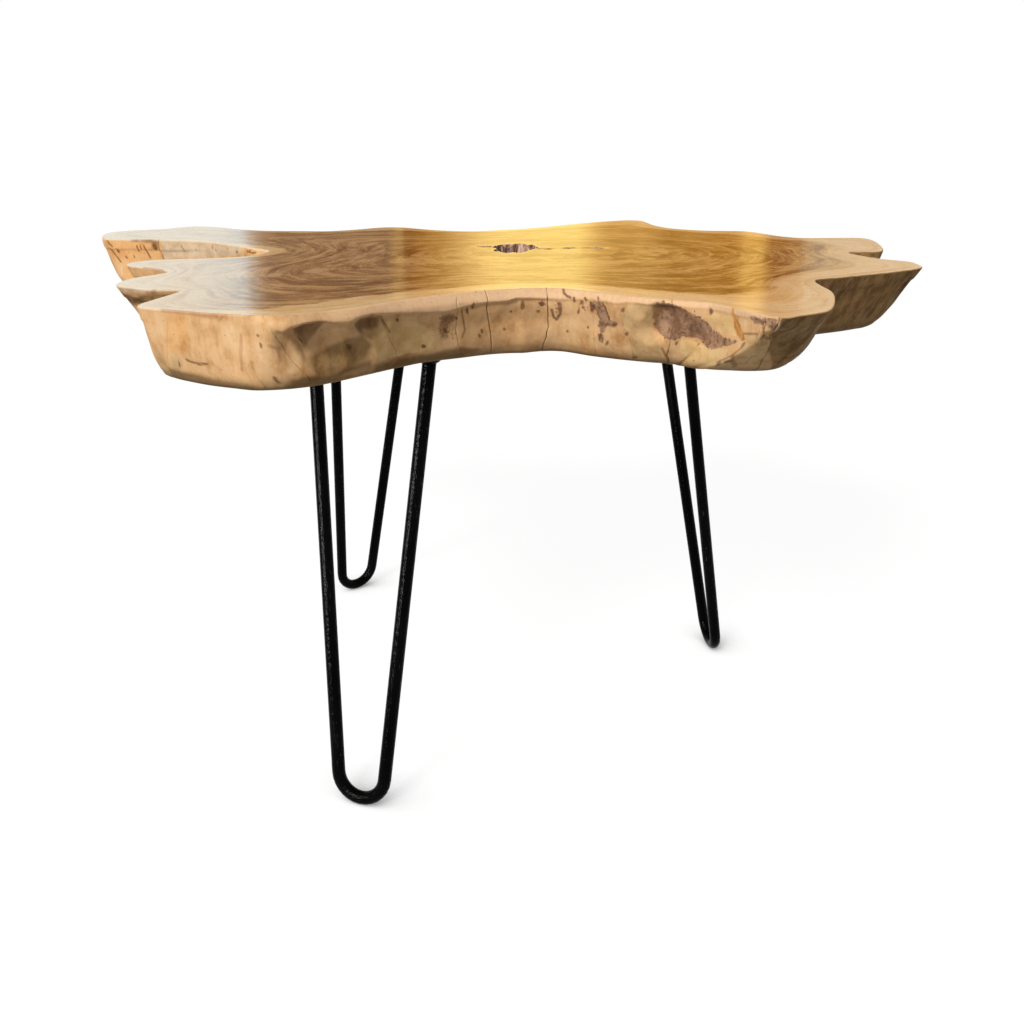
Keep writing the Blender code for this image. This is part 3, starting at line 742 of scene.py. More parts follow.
def fill_plan(outline, holes, step, slits=()):
    """Triangles that fill an outline less its holes: plan points, faces, and where the slits' middles are."""
    grid = hex_grid(outline.min(axis=0), outline.max(axis=0), step)
    grid = grid[inside(grid, outline)]
    grid = grid[nearest_gap(grid, outline) > 0.45 * step]
    for hole in holes:
        grid = grid[~inside(grid, hole)]
        grid = grid[nearest_gap(grid, hole) > 0.35 * step]
    points, edges = [], []
    for loop in (outline, *holes):
        first = len(points)
        points.extend(loop)
        edges.extend((first + k, first + (k + 1) % len(loop)) for k in range(len(loop)))
    middles = []
    for slit in slits:
        edge_lines, middle = slit
        grid = grid[nearest_gap(grid, middle) > 0.004]
        for line in (*edge_lines, middle):
            first = len(points)
            points.extend(line)
            edges.extend((first + k, first + k + 1) for k in range(len(line) - 1))
            if line is middle:
                middles.extend(range(first + 1, first + len(line) - 1))
    points.extend(grid)
    filled = delaunay_2d_cdt([Vector(point) for point in points], edges, [], 0, 1e-7, True)
    places, faces, origins = filled[0], filled[2], filled[3]
    places = np.array([tuple(place) for place in places])
    faces = np.array(faces)
    middle_of_face = places[faces].mean(axis=1)
    keep = inside(middle_of_face, outline)
    for hole in holes:
        keep &= ~inside(middle_of_face, hole)
    new_index = {}
    for index, old in enumerate(origins):
        for source in old:
            new_index[source] = index
    return places, faces[keep], new_index, middles


def check_slits(height):
    """The outlines and middle lines of the checks in the top, as slim lenses."""
    slits = []
    for start, end, half_width in TOP_CHECKS:
        start, end = on_level(start, height), on_level(end, height)
        run = end - start
        across = np.array((-run[1], run[0])) / np.linalg.norm(run)
        shares = np.linspace(0.0, 1.0, 9)
        bends = [0.0006 * noise.noise(Vector((start[0] * 200, share * 4, 0.0))) for share in shares]
        middle = np.array([start + run * share + across * bend for share, bend in zip(shares, bends)])
        swell = half_width * np.sin(pi * shares)[1:-1, None] * across
        slits.append(((middle[1:-1] + swell, middle[1:-1] - swell), middle))
    return slits


def edge_gap_field(outline):
    """Smoothed distance from the rim, in metres, as a function of plan points."""
    cell, blur = 0.005, 0.05
    low = outline.min(axis=0) - 4 * cell
    counts = np.ceil((outline.max(axis=0) + 4 * cell - low) / cell).astype(int)
    xs = low[0] + cell * np.arange(counts[0])
    ys = low[1] + cell * np.arange(counts[1])
    grid = np.stack(np.meshgrid(xs, ys, indexing="ij"), axis=2)
    within = inside(grid.reshape(-1, 2), outline).reshape(counts)
    level = np.ones(counts)
    spread = (blur / cell) ** 2
    for _ in range(1500):
        around = (np.roll(level, 1, 0) + np.roll(level, -1, 0) + np.roll(level, 1, 1) + np.roll(level, -1, 1))
        level = np.where(within, spread * around / (1 + 4 * spread), 1.0)
    field = -blur * np.log(level)

    def read(points):
        place = (points - low) / cell
        base = np.clip(np.floor(place).astype(int), 0, counts - 2)
        u, v = (place - base).T
        i, j = base.T
        return (field[i, j] * (1 - u) * (1 - v) + field[i + 1, j] * u * (1 - v)
                + field[i, j + 1] * (1 - u) * v + field[i + 1, j + 1] * u * v)

    return read


def even_loop(points, count):
    """A closed loop read again at even steps."""
    ways = np.concatenate([[0.0], np.cumsum(closed_steps(points))])
    closed = np.vstack([points, points[:1]])
    wanted = np.arange(count) * ways[-1] / count
    return np.stack([np.interp(wanted, ways, closed[:, axis]) for axis in range(points.shape[1])], axis=1)


class SlabMesh:
    """Gathers the slab's points, faces, finishes and marks."""

    def __init__(self):
        self.points, self.faces, self.finishes = [], [], []
        self.marks = {}
        self.sharp = set()

    def add_points(self, points, **marks):
        first = len(self.points)
        self.points.extend(map(tuple, points))
        for name, values in marks.items():
            self.marks.setdefault(name, {}).update(zip(range(first, first + len(points)), values))
        return np.arange(first, first + len(points))

    def add_faces(self, faces, finish):
        self.faces.extend(tuple(int(v) for v in face) for face in faces)
        self.finishes.extend([finish] * len(faces))

    def add_grid(self, indices, finish, flip=False):
        """Quads over a grid of point numbers that closes round its first axis."""
        nxt = np.roll(indices, -1, axis=0)
        quads = np.stack([indices[:, :-1], indices[:, 1:], nxt[:, 1:], nxt[:, :-1]], axis=2).reshape(-1, 4)
        self.add_faces(quads[:, ::-1] if flip else quads, finish)

    def add_sharp_loop(self, loop):
        self.sharp.update(frozenset((int(a), int(b))) for a, b in zip(loop, np.roll(loop, -1)))

    def build(self, name, materials):
        mesh = bpy.data.meshes.new(name)
        mesh.from_pydata(self.points, [], self.faces)
        for finish in materials:
            mesh.materials.append(finish)
        mesh.polygons.foreach_set("material_index", self.finishes)
        for mark, values in self.marks.items():
            column = np.zeros(len(self.points), np.float32)
            column[list(values)] = list(values.values())
            mesh.attributes.new(mark, "FLOAT", "POINT").data.foreach_set("value", column)
        mesh.shade_smooth()
        for edge in mesh.edges:
            edge.use_edge_sharp = frozenset(edge.vertices) in self.sharp
        made = bpy.data.objects.new(name, mesh)
        bpy.context.scene.collection.objects.link(made)
        return made


TOP, SIDE, UNDERSIDE, VOID = range(4)


def fill_level(slab, outline_points, outline, holes, hole_points, height, step, finish, field, slits=()):
    """Fills the slab's top or underside between loops of points that are already there."""
    places, faces, new_index, middles = fill_plan(outline, holes, step, slits)
    known = {}
    number = 0
    for loop in (outline_points, *hole_points):
        for point in loop:
            known[new_index[number]] = int(point)
            number += 1
    lowered = {new_index[source] for source in middles}
    heights = np.full(len(places), height)
    heights[list(lowered)] -= CHECK_DEPTH
    # The checks' middles take the void finish at full depth, with its painted shade
    dark_depth = np.zeros(len(places))
    dark_depth[list(lowered)] = 0.03
    fresh = [index for index in range(len(places)) if index not in known]
    numbers = slab.add_points(
        np.column_stack([places[fresh], heights[fresh]]),
        edge_gap=field(places[fresh]),
        depth=dark_depth[fresh],
    )
    known.update(zip(fresh, numbers))
    upward = finish == TOP
    for face in faces:
        turned = [known[v] for v in (face if upward else face[::-1])]
        slab.add_faces([turned], VOID if lowered.intersection(face) else finish)


def make_void(slab, loops, rim):
    """The natural void at the pith: ragged walls down to a broken floor. Returns its mouth's points."""
    mouth = even_loop(loops[rim.top][1][:, :2], VOID_COLUMNS)
    floor_heights = [height for height, found in loops.items()
                     if len(found[0]) < 60 and rim.top - 0.03 < height < rim.top - 0.01]
    depth = rim.top - max(floor_heights)
    centre = mouth.mean(axis=0)
    broken = [noise.noise(Vector((x * 95, y * 60, 7.0))) + 0.6 * noise.noise(Vector((x * 260, y * 120, 4.0)))
              for x, y in mouth]
    pull = np.clip(np.array(broken) + 0.15, 0.0, 0.8)
    mouth = mouth + (centre - mouth) * 0.24 * pull[:, None]
    inward = (centre - mouth) / np.linalg.norm(centre - mouth, axis=1)[:, None]
    shares = np.array((0.0, 0.03, 0.1, 0.22, 0.36, 0.5, 0.64, 0.78, 0.9, 1.0))
    rows = []
    for share in shares:
        rag = []
        for x, y in mouth:
            ridge = noise.noise(Vector((x * 190, y * 190, share * 1.4)))
            broad = noise.noise(Vector((x * 60, y * 60, share * 1.0)))
            rag.append(0.0016 * ridge + 0.0026 * broad)
        inset = 0.0005 * (share > 0) + 0.008 * share + np.array(rag) * smooth_step(share / 0.1)
        plan = mouth + inward * np.clip(inset, 0.0, None)[:, None]
        rows.append(np.column_stack([plan, np.full(len(mouth), rim.top - share * depth)]))
    grid = np.stack(rows, axis=1)
    flat = grid.reshape(-1, 3)
    numbers = slab.add_points(flat, depth=rim.top - flat[:, 2]).reshape(grid.shape[:2])
    slab.add_grid(numbers, VOID, flip=True)
    inner = numbers[:, -1]
    last = grid[:, -1]
    for share in (0.7, 0.4, 0.15):
        ring = centre + (last[:, :2] - centre) * share
        lift = [0.003 * noise.noise(Vector((x * 110, y * 110, 3.0))) for x, y in ring]
        heights = rim.top - depth + np.array(lift)
        ring_numbers = slab.add_points(np.column_stack([ring, heights]), depth=rim.top - heights)
        slab.add_grid(np.stack([inner, ring_numbers], axis=1), VOID, flip=True)
        inner = ring_numbers
    hub = slab.add_points([(*centre, rim.top - depth)], depth=[depth])[0]
    slab.add_faces([(int(b), int(a), int(hub)) for a, b in zip(np.roll(inner, -1), inner)], VOID)
    slab.add_sharp_loop(numbers[:, 0])
    return mouth, numbers[:, 0]


def make_slab(materials):
    loops = level_loops(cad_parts["slab"].data)
    rim = Rim(loops)
    side = make_side(rim)
    slab = SlabMesh()
    points = side.points()
    marks = {name: values.ravel() for name, values in side.marks.items()}
    numbers = slab.add_points(points.reshape(-1, 3), depth=side.depth.ravel(), **marks)
    numbers = numbers.reshape(side.columns, side.rows)
    slab.add_grid(numbers, SIDE)
    slab.add_sharp_loop(numbers[:, 0])
    slab.add_sharp_loop(numbers[:, -1])
    field = edge_gap_field(rim.rings[0])
    mouth, mouth_points = make_void(slab, loops, rim)
    fill_level(slab, numbers[:, 0], points[:, 0, :2], [mouth], [mouth_points], rim.top, TOP_STEP, TOP, field,
               check_slits(rim.top))
    fill_level(slab, numbers[:, -1], points[:, -1, :2], [], [], rim.top - rim.thickness, UNDERSIDE_STEP,
               UNDERSIDE, field)
    made = slab.build("slab_wood", materials)
    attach(made, "root")
    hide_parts("slab")


class Finish:
    """Short calls for building one material's nodes."""

    def __init__(self, name):
        self.material = bpy.data.materials.new(name)
        self.material.use_nodes = True
        self.tree = self.material.node_tree
        self.surface = self.tree.nodes["Principled BSDF"]
        self.place = self.node("ShaderNodeTexCoord").outputs["Object"]

    def node(self, kind, **settings):
        made = self.tree.nodes.new(kind)
        for name, value in settings.items():
            setattr(made, name, value)
        return made

    def feed(self, socket, value):
        if isinstance(value, bpy.types.NodeSocket):
            self.tree.links.new(value, socket)
        elif isinstance(value, tuple) and len(value) == 3 and socket.type == "RGBA":
            socket.default_value = (*value, 1.0)
        else:
            socket.default_value = value

    def set(self, **values):
        """Feeds the surface's inputs, named with underscores for blanks."""
        for name, value in values.items():
            self.feed(self.surface.inputs[name.replace("_", " ")], value)

    def glow(self, colour, strength):
        """Makes the surface a plain light of one colour."""
        light = self.node("ShaderNodeEmission")
        self.feed(light.inputs["Color"], colour)
        light.inputs["Strength"].default_value = strength
        self.feed(self.tree.nodes["Material Output"].inputs["Surface"], light.outputs[0])

    def mark(self, name):
        return self.node("ShaderNodeAttribute", attribute_name=name).outputs["Fac"]

    def math(self, operation, first, second=0.0, clamp=False):
        made = self.node("ShaderNodeMath", operation=operation, use_clamp=clamp)
        self.feed(made.inputs[0], first)
        self.feed(made.inputs[1], second)
        return made.outputs[0]

    def ease(self, value, low, high, start=0.0, end=1.0):
        made = self.node("ShaderNodeMapRange", interpolation_type="SMOOTHSTEP")
        for name, entry in (("Value", value), ("From Min", low), ("From Max", high), ("To Min", start),
                            ("To Max", end)):
            self.feed(made.inputs[name], entry)
        return made.outputs["Result"]

    def stretch(self, scale, place=None):
        made = self.node("ShaderNodeVectorMath", operation="MULTIPLY")
        self.feed(made.inputs[0], place or self.place)
        made.inputs[1].default_value = scale
        return made.outputs["Vector"]

    def joined(self, x, y, z):
        made = self.node("ShaderNodeCombineXYZ")
        for socket, value in zip(made.inputs, (x, y, z)):
            self.feed(socket, value)
        return made.outputs[0]

    def axes(self):
        return self.node_outputs("ShaderNodeSeparateXYZ", self.place)

    def node_outputs(self, kind, source):
        made = self.node(kind)
        self.feed(made.inputs[0], source)
        return list(made.outputs)

    def noise(self, place, scale=1.0, detail=3.0, roughness=0.55, distortion=0.0):
        made = self.node("ShaderNodeTexNoise")
        self.feed(made.inputs["Vector"], place)
        made.inputs["Scale"].default_value = scale
        made.inputs["Detail"].default_value = detail
        made.inputs["Roughness"].default_value = roughness
        made.inputs["Distortion"].default_value = distortion
        return made.outputs["Fac"]

    def ramp(self, value, stops):
        made = self.node("ShaderNodeValToRGB")
        elements = made.color_ramp.elements
        while len(elements) < len(stops):
            elements.new(0.5)
        for element, (place, colour) in zip(elements, stops):
            element.position = place
            element.color = (*colour, 1.0)
        self.feed(made.inputs["Fac"], value)
        return made.outputs["Color"]

    def mix(self, share, first, second, blend="MIX"):
        made = self.node("ShaderNodeMix", data_type="RGBA", blend_type=blend)
        self.feed(made.inputs["Factor"], share)
        colours = [socket for socket in made.inputs if socket.type == "RGBA"]
        self.feed(colours[0], first)
        self.feed(colours[1], second)
        return [socket for socket in made.outputs if socket.type == "RGBA"][0]

    def bump(self, height, strength, distance, under=None):
        made = self.node("ShaderNodeBump")
        made.inputs["Strength"].default_value = strength
        made.inputs["Distance"].default_value = distance
        self.feed(made.inputs["Height"], height)
        if under is not None:
            self.feed(made.inputs["Normal"], under)
        return made.outputs["Normal"]


def top_wood():
    """Lacquered end grain: brown heartwood in wavy rings, a yellow sapwood band and pores."""
    wood = Finish("lacquered_end_grain")
    x, y, z = wood.axes()
    gap = wood.mark("edge_gap")

    def round_pith(close, loose, detail, roughness):
        """Noise in bands that follow the rim."""
        return wood.noise(wood.joined(*(wood.math("MULTIPLY", part, share)
                                        for part, share in ((gap, close), (x, loose), (y, loose)))),
                          detail=detail, roughness=roughness)

    rings = round_pith(230.0, 12.0, 4.0, 0.6)
    growth = round_pith(85.0, 8.0, 4.0, 0.62)
    bands = round_pith(34.0, 5.0, 2.0, 0.55)
    pores = wood.noise(wood.stretch((330.0, 330.0, 1.0)), detail=2.0)
    dashes = wood.noise(wood.stretch((85.0, 100.0, 1.0)), detail=4.0, roughness=0.65)
    clouds = wood.noise(wood.stretch((11.0, 18.0, 1.0)), detail=4.0)
    tone = wood.math("MULTIPLY", rings, 0.24)
    for part, share in ((growth, 0.40), (bands, 0.14), (dashes, 0.14), (pores, 0.08)):
        tone = wood.math("ADD", tone, wood.math("MULTIPLY", part, share))
    brown = wood.ramp(tone, ((0.43, (0.135, 0.057, 0.022)), (0.49, (0.370, 0.184, 0.079)),
                             (0.55, (0.620, 0.370, 0.185))))
    gold = wood.ramp(tone, ((0.43, (0.180, 0.073, 0.014)), (0.49, (0.455, 0.232, 0.062)),
                            (0.55, (0.740, 0.455, 0.150))))
    right = wood.ease(wood.math("ADD", x, wood.math("MULTIPLY", clouds, 0.35)), -0.12, 0.40)
    heart = wood.mix(right, brown, gold)
    heart = wood.mix(wood.ease(clouds, 0.50, 0.75, 0.0, 0.4), heart, (0.600, 0.375, 0.160))
    heart = wood.mix(wood.ease(growth, 0.55, 0.66, 0.0, 0.55), heart, (0.120, 0.050, 0.016))
    flames = round_pith(130.0, 30.0, 4.0, 0.64)
    for low, high, start, end, tint in ((0.38, 0.48, 0.60, 0.0, (0.150, 0.062, 0.015)),
                                        (0.53, 0.62, 0.0, 0.38, (0.780, 0.490, 0.200))):
        heart = wood.mix(wood.ease(flames, low, high, start, end), heart, tint)
    dashes_right = wood.math("MULTIPLY", wood.ease(flames, 0.40, 0.47, 0.55, 0.0), right)
    heart = wood.mix(dashes_right, heart, (0.170, 0.068, 0.010))
    lines = wood.math("MULTIPLY", wood.ease(rings, 0.58, 0.66), wood.ease(clouds, 0.40, 0.60))
    heart = wood.mix(wood.math("MULTIPLY", lines, 0.40), heart, (0.640, 0.430, 0.230))
    for pixel, half_sizes in FLECKS:
        heart = wood.mix(fleck_share(wood, x, y, pixel, half_sizes), heart, (0.660, 0.430, 0.240))
    sap = wood.ramp(tone, ((0.41, (0.660, 0.360, 0.125)), (0.49, (0.880, 0.560, 0.250)),
                           (0.57, (0.950, 0.690, 0.390))))
    leftness = wood.math("ADD", x, wood.math("MULTIPLY", y, 0.236))
    sap = wood.mix(wood.ease(leftness, -0.27, -0.20, 0.85, 0.0), sap, (0.840, 0.830, 0.820), "MULTIPLY")
    wander = wood.math("MULTIPLY", wood.noise(wood.stretch((30.0, 30.0, 1.0)), detail=3.0), 0.022)
    band = wood.ease(leftness, -0.27, -0.15, 0.020, 0.044)
    band = wood.math("SUBTRACT", band, wood.ease(y, 0.0, 0.2, 0.0, 0.012))
    beyond = wood.math("SUBTRACT", wood.math("ADD", gap, wander), band)
    line = wood.math("MULTIPLY", wood.ease(beyond, -0.002, wood.ease(x, 0.15, 0.30, 0.003, 0.016)),
                     wood.ease(leftness, -0.285, -0.215))
    colour = wood.mix(line, sap, heart)
    pale_rim = wood.ease(wood.math("ADD", gap, wood.math("MULTIPLY", wander, 0.3)), 0.001, 0.015, 0.7, 0.0)
    colour = wood.mix(pale_rim, colour, (0.930, 0.680, 0.400))
    colour = wood.mix(wood.ease(pores, 0.60, 0.70, 0.0, 0.35), colour, (0.110, 0.052, 0.020))
    wood.set(Base_Color=colour, Roughness=wood.ease(tone, 0.40, 0.60, 0.13, 0.07), IOR=1.48)
    combing = wood.noise(wood.stretch((24.0, 90.0, 1.0)), detail=3.0, roughness=0.6)
    wood.set(Normal=wood.bump(combing, 1.0, 0.00025, wood.bump(tone, 0.08, 0.0006)))
    return wood.material


def fleck_share(wood, x, y, pixel, half_sizes):
    """Strength of one light fleck, a blurred oval in plan."""
    middle = on_level(pixel, cad_box[1][2])
    parts = []
    for axis, place, half in zip((x, y), middle, half_sizes):
        part = wood.math("DIVIDE", wood.math("SUBTRACT", axis, float(place)), half)
        parts.append(wood.math("MULTIPLY", part, part))
    return wood.ease(wood.math("ADD", *parts), 0.3, 1.3, 0.75, 0.0)


def side_wood():
    """The live edge under its bark: tan wood with upright fibres, bark remains, cracks, worm marks, painted
    shade and painted highlights.
    """
    wood = Finish("live_edge_wood")
    depth = wood.mark("depth")
    below = wood.mark("crease_gap")
    x = wood.axes()[0]
    fibres = wood.noise(wood.stretch((120.0, 120.0, 13.0)), detail=4.0, roughness=0.6)
    fine = wood.noise(wood.stretch((420.0, 420.0, 70.0)), detail=3.0)
    clouds = wood.noise(wood.stretch((14.0, 14.0, 18.0)), detail=5.0, roughness=0.6)
    blotch = wood.noise(wood.stretch((75.0, 75.0, 75.0)), detail=5.0, roughness=0.65)
    grit = wood.noise(wood.stretch((330.0, 330.0, 260.0)), detail=3.0, roughness=0.6)
    tone = wood.math("ADD", wood.math("MULTIPLY", fibres, 0.20), wood.math("MULTIPLY", fine, 0.12))
    tone = wood.math("ADD", tone, wood.math("MULTIPLY", clouds, 0.38))
    tone = wood.math("ADD", tone, wood.math("MULTIPLY", blotch, 0.30))
    colour = wood.ramp(tone, ((0.40, (0.480, 0.245, 0.096)), (0.49, (0.660, 0.400, 0.190)),
                              (0.58, (0.740, 0.490, 0.265))))
    colour = wood.mix(wood.ease(clouds, 0.50, 0.66, 0.0, 0.45), colour, (0.680, 0.350, 0.130))

    def ragged(name, low, high, rag, source=blotch):
        rough = wood.math("MULTIPLY", wood.math("SUBTRACT", source, 0.5), rag)
        return wood.ease(wood.math("ADD", wood.mark(name), rough), low, high)

    def stain(name, share, low, high, rag, dark, light, texture=blotch):
        tint = wood.mix(wood.ease(texture, 0.36, 0.64), dark, light)
        return wood.mix(wood.math("MULTIPLY", ragged(name, low, high, rag, texture), share), colour, tint)

    colour = stain("brown", 0.40, 0.2, 0.8, 0.8, (0.460, 0.235, 0.095), (0.600, 0.340, 0.155))
    colour = stain("orange", 0.50, 0.2, 0.8, 1.0, (0.600, 0.260, 0.070), (0.740, 0.390, 0.140))
    # Pale wood, and a painted highlight along one crack's lip
    colour = stain("pale", 0.80, 0.30, 0.70, 0.9, (0.500, 0.385, 0.255), (0.620, 0.490, 0.350))
    colour = stain("olive", 0.80, 0.3, 0.7, 1.0, (0.440, 0.270, 0.120), (0.620, 0.415, 0.200))
    # Cream wood, and painted light on one low front stretch
    colour = stain("cream_and_painted_light", 0.85, 0.4, 0.6, 0.8, (0.640, 0.410, 0.170), (0.760, 0.520, 0.250))
    edge = wood.math("ADD", below, wood.math("MULTIPLY", wood.math("SUBTRACT", blotch, 0.5), 0.006))
    bevel = wood.mix(fine, (0.600, 0.370, 0.205), (0.780, 0.540, 0.345))
    bevel_share = wood.math("MULTIPLY", wood.ease(edge, -0.001, 0.001, 0.80, 0.0), wood.mark("bevel"))
    bevel_share = wood.math("MULTIPLY", bevel_share, wood.ease(x, -0.16, -0.02, 0.10, 1.0))
    colour = wood.mix(bevel_share, colour, bevel)
    # Painted highlight: the top edge of the left lobes turned pale grey, like the sheen on that rounded edge
    painted_rim_highlight = wood.math("MULTIPLY", wood.ease(depth, 0.0006, 0.0022, 0.80, 0.0),
                          wood.ease(x, -0.24, -0.14, 1.0, 0.0))
    colour = wood.mix(painted_rim_highlight, colour, (0.700, 0.600, 0.470))
    bark = wood.mix(wood.ease(blotch, 0.36, 0.64), (0.160, 0.075, 0.044), (0.410, 0.240, 0.148))
    bark = wood.mix(wood.ease(grit, 0.52, 0.64, 0.0, 0.75), bark, (0.085, 0.038, 0.022))
    flaking = wood.math("ADD", wood.math("MULTIPLY", blotch, 0.45), wood.math("MULTIPLY", grit, 0.55))
    colour = wood.mix(wood.math("MULTIPLY", ragged("bark", 0.38, 0.60, 2.6, flaking), 0.90), colour, bark)
    # Painted shade, dark brown with upright fibres
    colour = stain("shade", 0.95, 0.3, 0.7, 0.8, (0.120, 0.065, 0.020), (0.270, 0.160, 0.062), fibres)
    # Painted shade on undercuts and along the bottom of the edge
    colour = stain("painted_undercut_shade", 0.80, 0.2, 0.8, 0.7, (0.120, 0.065, 0.020), (0.270, 0.160, 0.062))
    # Dark marks with painted shade, strongest just under the crease, whose overhang shades the scoops
    deep = wood.ease(below, 0.004, 0.026, 0.80, 0.40)
    colour = stain("smudge_and_painted_shade", deep, 0.25, 0.80, 1.1, (0.100, 0.047, 0.018), (0.240, 0.122, 0.050), fibres)
    colour = stain("red", 0.45, 0.20, 0.95, 1.4, (0.260, 0.095, 0.040), (0.420, 0.190, 0.090))
    colour = stain("resin", 0.85, 0.25, 0.90, 0.8, (0.360, 0.125, 0.022), (0.620, 0.270, 0.060), fine)
    colour = stain("hairline", 0.65, 0.35, 0.90, 0.2, (0.130, 0.062, 0.020), (0.240, 0.130, 0.048), fine)
    specks = wood.noise(wood.stretch((560.0, 560.0, 480.0)), detail=2.0)
    colour = stain("speckle", 0.70, 1.05, 1.18, 2.5, (0.110, 0.046, 0.022), (0.230, 0.110, 0.055), specks)
    colour = stain("spot", 0.80, 0.20, 0.95, 1.0, (0.060, 0.024, 0.010), (0.190, 0.085, 0.038), grit)
    # Painted shade: darker along the bottom of the edge, where little light reaches
    painted_foot_shade = wood.math("ADD", depth, wood.math("MULTIPLY", wood.math("SUBTRACT", blotch, 0.5), 0.012))
    colour = wood.mix(wood.ease(painted_foot_shade, 0.045, 0.057, 0.0, 0.85), colour, (0.150, 0.088, 0.036))
    flecks = wood.math("MULTIPLY", wood.ease(grit, 0.64, 0.72), wood.ease(clouds, 0.42, 0.60))
    colour = wood.mix(wood.math("MULTIPLY", flecks, 0.55), colour, (0.150, 0.066, 0.027))
    colour = wood.mix(wood.ease(wood.mark("crack"), 0.10, 0.80, 0.0, 0.90), colour, (0.065, 0.030, 0.014))
    wood.set(Base_Color=colour, Roughness=wood.ease(tone, 0.40, 0.60, 0.78, 0.62), Specular_IOR_Level=0.06)
    relief = wood.math("ADD", wood.math("MULTIPLY", grit, 0.4), wood.math("MULTIPLY", blotch, 0.6))
    wood.set(Normal=wood.bump(relief, 0.30, 0.0012, wood.bump(fibres, 0.12, 0.0010)))
    return wood.material


def underside_wood():
    """Rough sawn underside: plain brown end grain with saw marks."""
    wood = Finish("sawn_underside")
    gap = wood.mark("edge_gap")
    x, y, z = wood.axes()
    rings = wood.noise(wood.joined(wood.math("MULTIPLY", gap, 160.0), wood.math("MULTIPLY", x, 9.0),
                                   wood.math("MULTIPLY", y, 9.0)), detail=4.0)
    saw = wood.noise(wood.stretch((14.0, 420.0, 1.0)), detail=2.0)
    colour = wood.ramp(rings, ((0.36, (0.170, 0.085, 0.035)), (0.62, (0.380, 0.220, 0.100))))
    sap = wood.ramp(rings, ((0.36, (0.360, 0.205, 0.090)), (0.62, (0.560, 0.370, 0.180))))
    colour = wood.mix(wood.ease(gap, 0.034, 0.042), sap, colour)
    wood.set(Base_Color=colour, Roughness=wood.ease(saw, 0.3, 0.7, 0.78, 0.60))
    wood.set(Normal=wood.bump(saw, 0.35, 0.0008))
    return wood.material


def void_bark():
    """Dark ridged walls of the void at the pith, with painted shade deeper down."""
    bark = Finish("void_bark")
    depth = bark.mark("depth")
    ridges = bark.noise(bark.stretch((260.0, 260.0, 40.0)), detail=4.0, roughness=0.65)
    colour = bark.ramp(ridges, ((0.40, (0.045, 0.020, 0.014)), (0.50, (0.250, 0.130, 0.090)),
                                (0.60, (0.560, 0.370, 0.270))))
    # Painted shade: darker deeper into the void
    colour = bark.mix(bark.ease(depth, 0.014, 0.026, 0.0, 0.70), colour, (0.028, 0.015, 0.010))
    bark.set(Base_Color=colour, Roughness=bark.ease(ridges, 0.3, 0.7, 0.85, 0.62))
    bark.set(Normal=bark.bump(ridges, 0.6, 0.0025))
    return bark.material


def black_paint(name, lumps):
    """Gloss black paint over rough steel: lumps that break up its shine, worn specks and dull patches."""
    paint = Finish(name)
    scuffs = paint.noise(paint.stretch((420.0, 420.0, 75.0)), detail=3.0, roughness=0.7)
    dust = paint.noise(paint.stretch((900.0, 900.0, 900.0)), detail=2.0)
    patch = paint.noise(paint.stretch((18.0, 18.0, 12.0)), detail=2.0)
    colour = paint.mix(paint.ease(patch, 0.35, 0.65), (0.0005, 0.0005, 0.0006), (0.0016, 0.0016, 0.0018))
    worn = paint.math("MULTIPLY", paint.ease(scuffs, 0.64, 0.72), paint.ease(patch, 0.46, 0.60))
    colour = paint.mix(paint.math("MULTIPLY", worn, 0.35), colour, (0.130, 0.128, 0.122))
    colour = paint.mix(paint.ease(dust, 0.72, 0.80, 0.0, 0.20), colour, (0.100, 0.100, 0.100))
    paint.set(Base_Color=colour, Roughness=paint.ease(scuffs, 0.35, 0.65, 0.08, 0.20))
    paint.set(Specular_IOR_Level=0.022)
    relief = paint.noise(paint.stretch((lumps, lumps, lumps * 0.6)), detail=3.0, roughness=0.55)
    paint.set(Normal=paint.bump(relief, 0.7, 0.0010))
    return paint.material


def zinc_screw():
    """Bright zinc plate with a brushed turn, and dull patches."""
    zinc = Finish("zinc_plate")
    brush = zinc.noise(zinc.stretch((900.0, 900.0, 260.0)), detail=3.0)
    dull = zinc.noise(zinc.stretch((220.0, 220.0, 220.0)), detail=2.0)
    colour = zinc.mix(zinc.ease(dull, 0.40, 0.65), (0.600, 0.600, 0.610), (0.430, 0.420, 0.400))
    zinc.set(Base_Color=colour, Metallic=1.0, Roughness=zinc.ease(brush, 0.30, 0.70, 0.22, 0.42))
    zinc.set(Normal=zinc.bump(brush, 0.10, 0.0003))
    return zinc.material


def dress_legs():
    """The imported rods, plates, welds and screws keep their shapes and get finished materials."""
    rod_paint = black_paint("black_rod_paint", 380.0)
    weld_paint = black_paint("black_weld_paint", 900.0)
    zinc = zinc_screw()
    for name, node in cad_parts.items():
        if name == "slab":
            continue
        finish = weld_paint if "weld" in name else zinc if "screw" in name else rod_paint
        node.data.materials.clear()
        node.data.materials.append(finish)


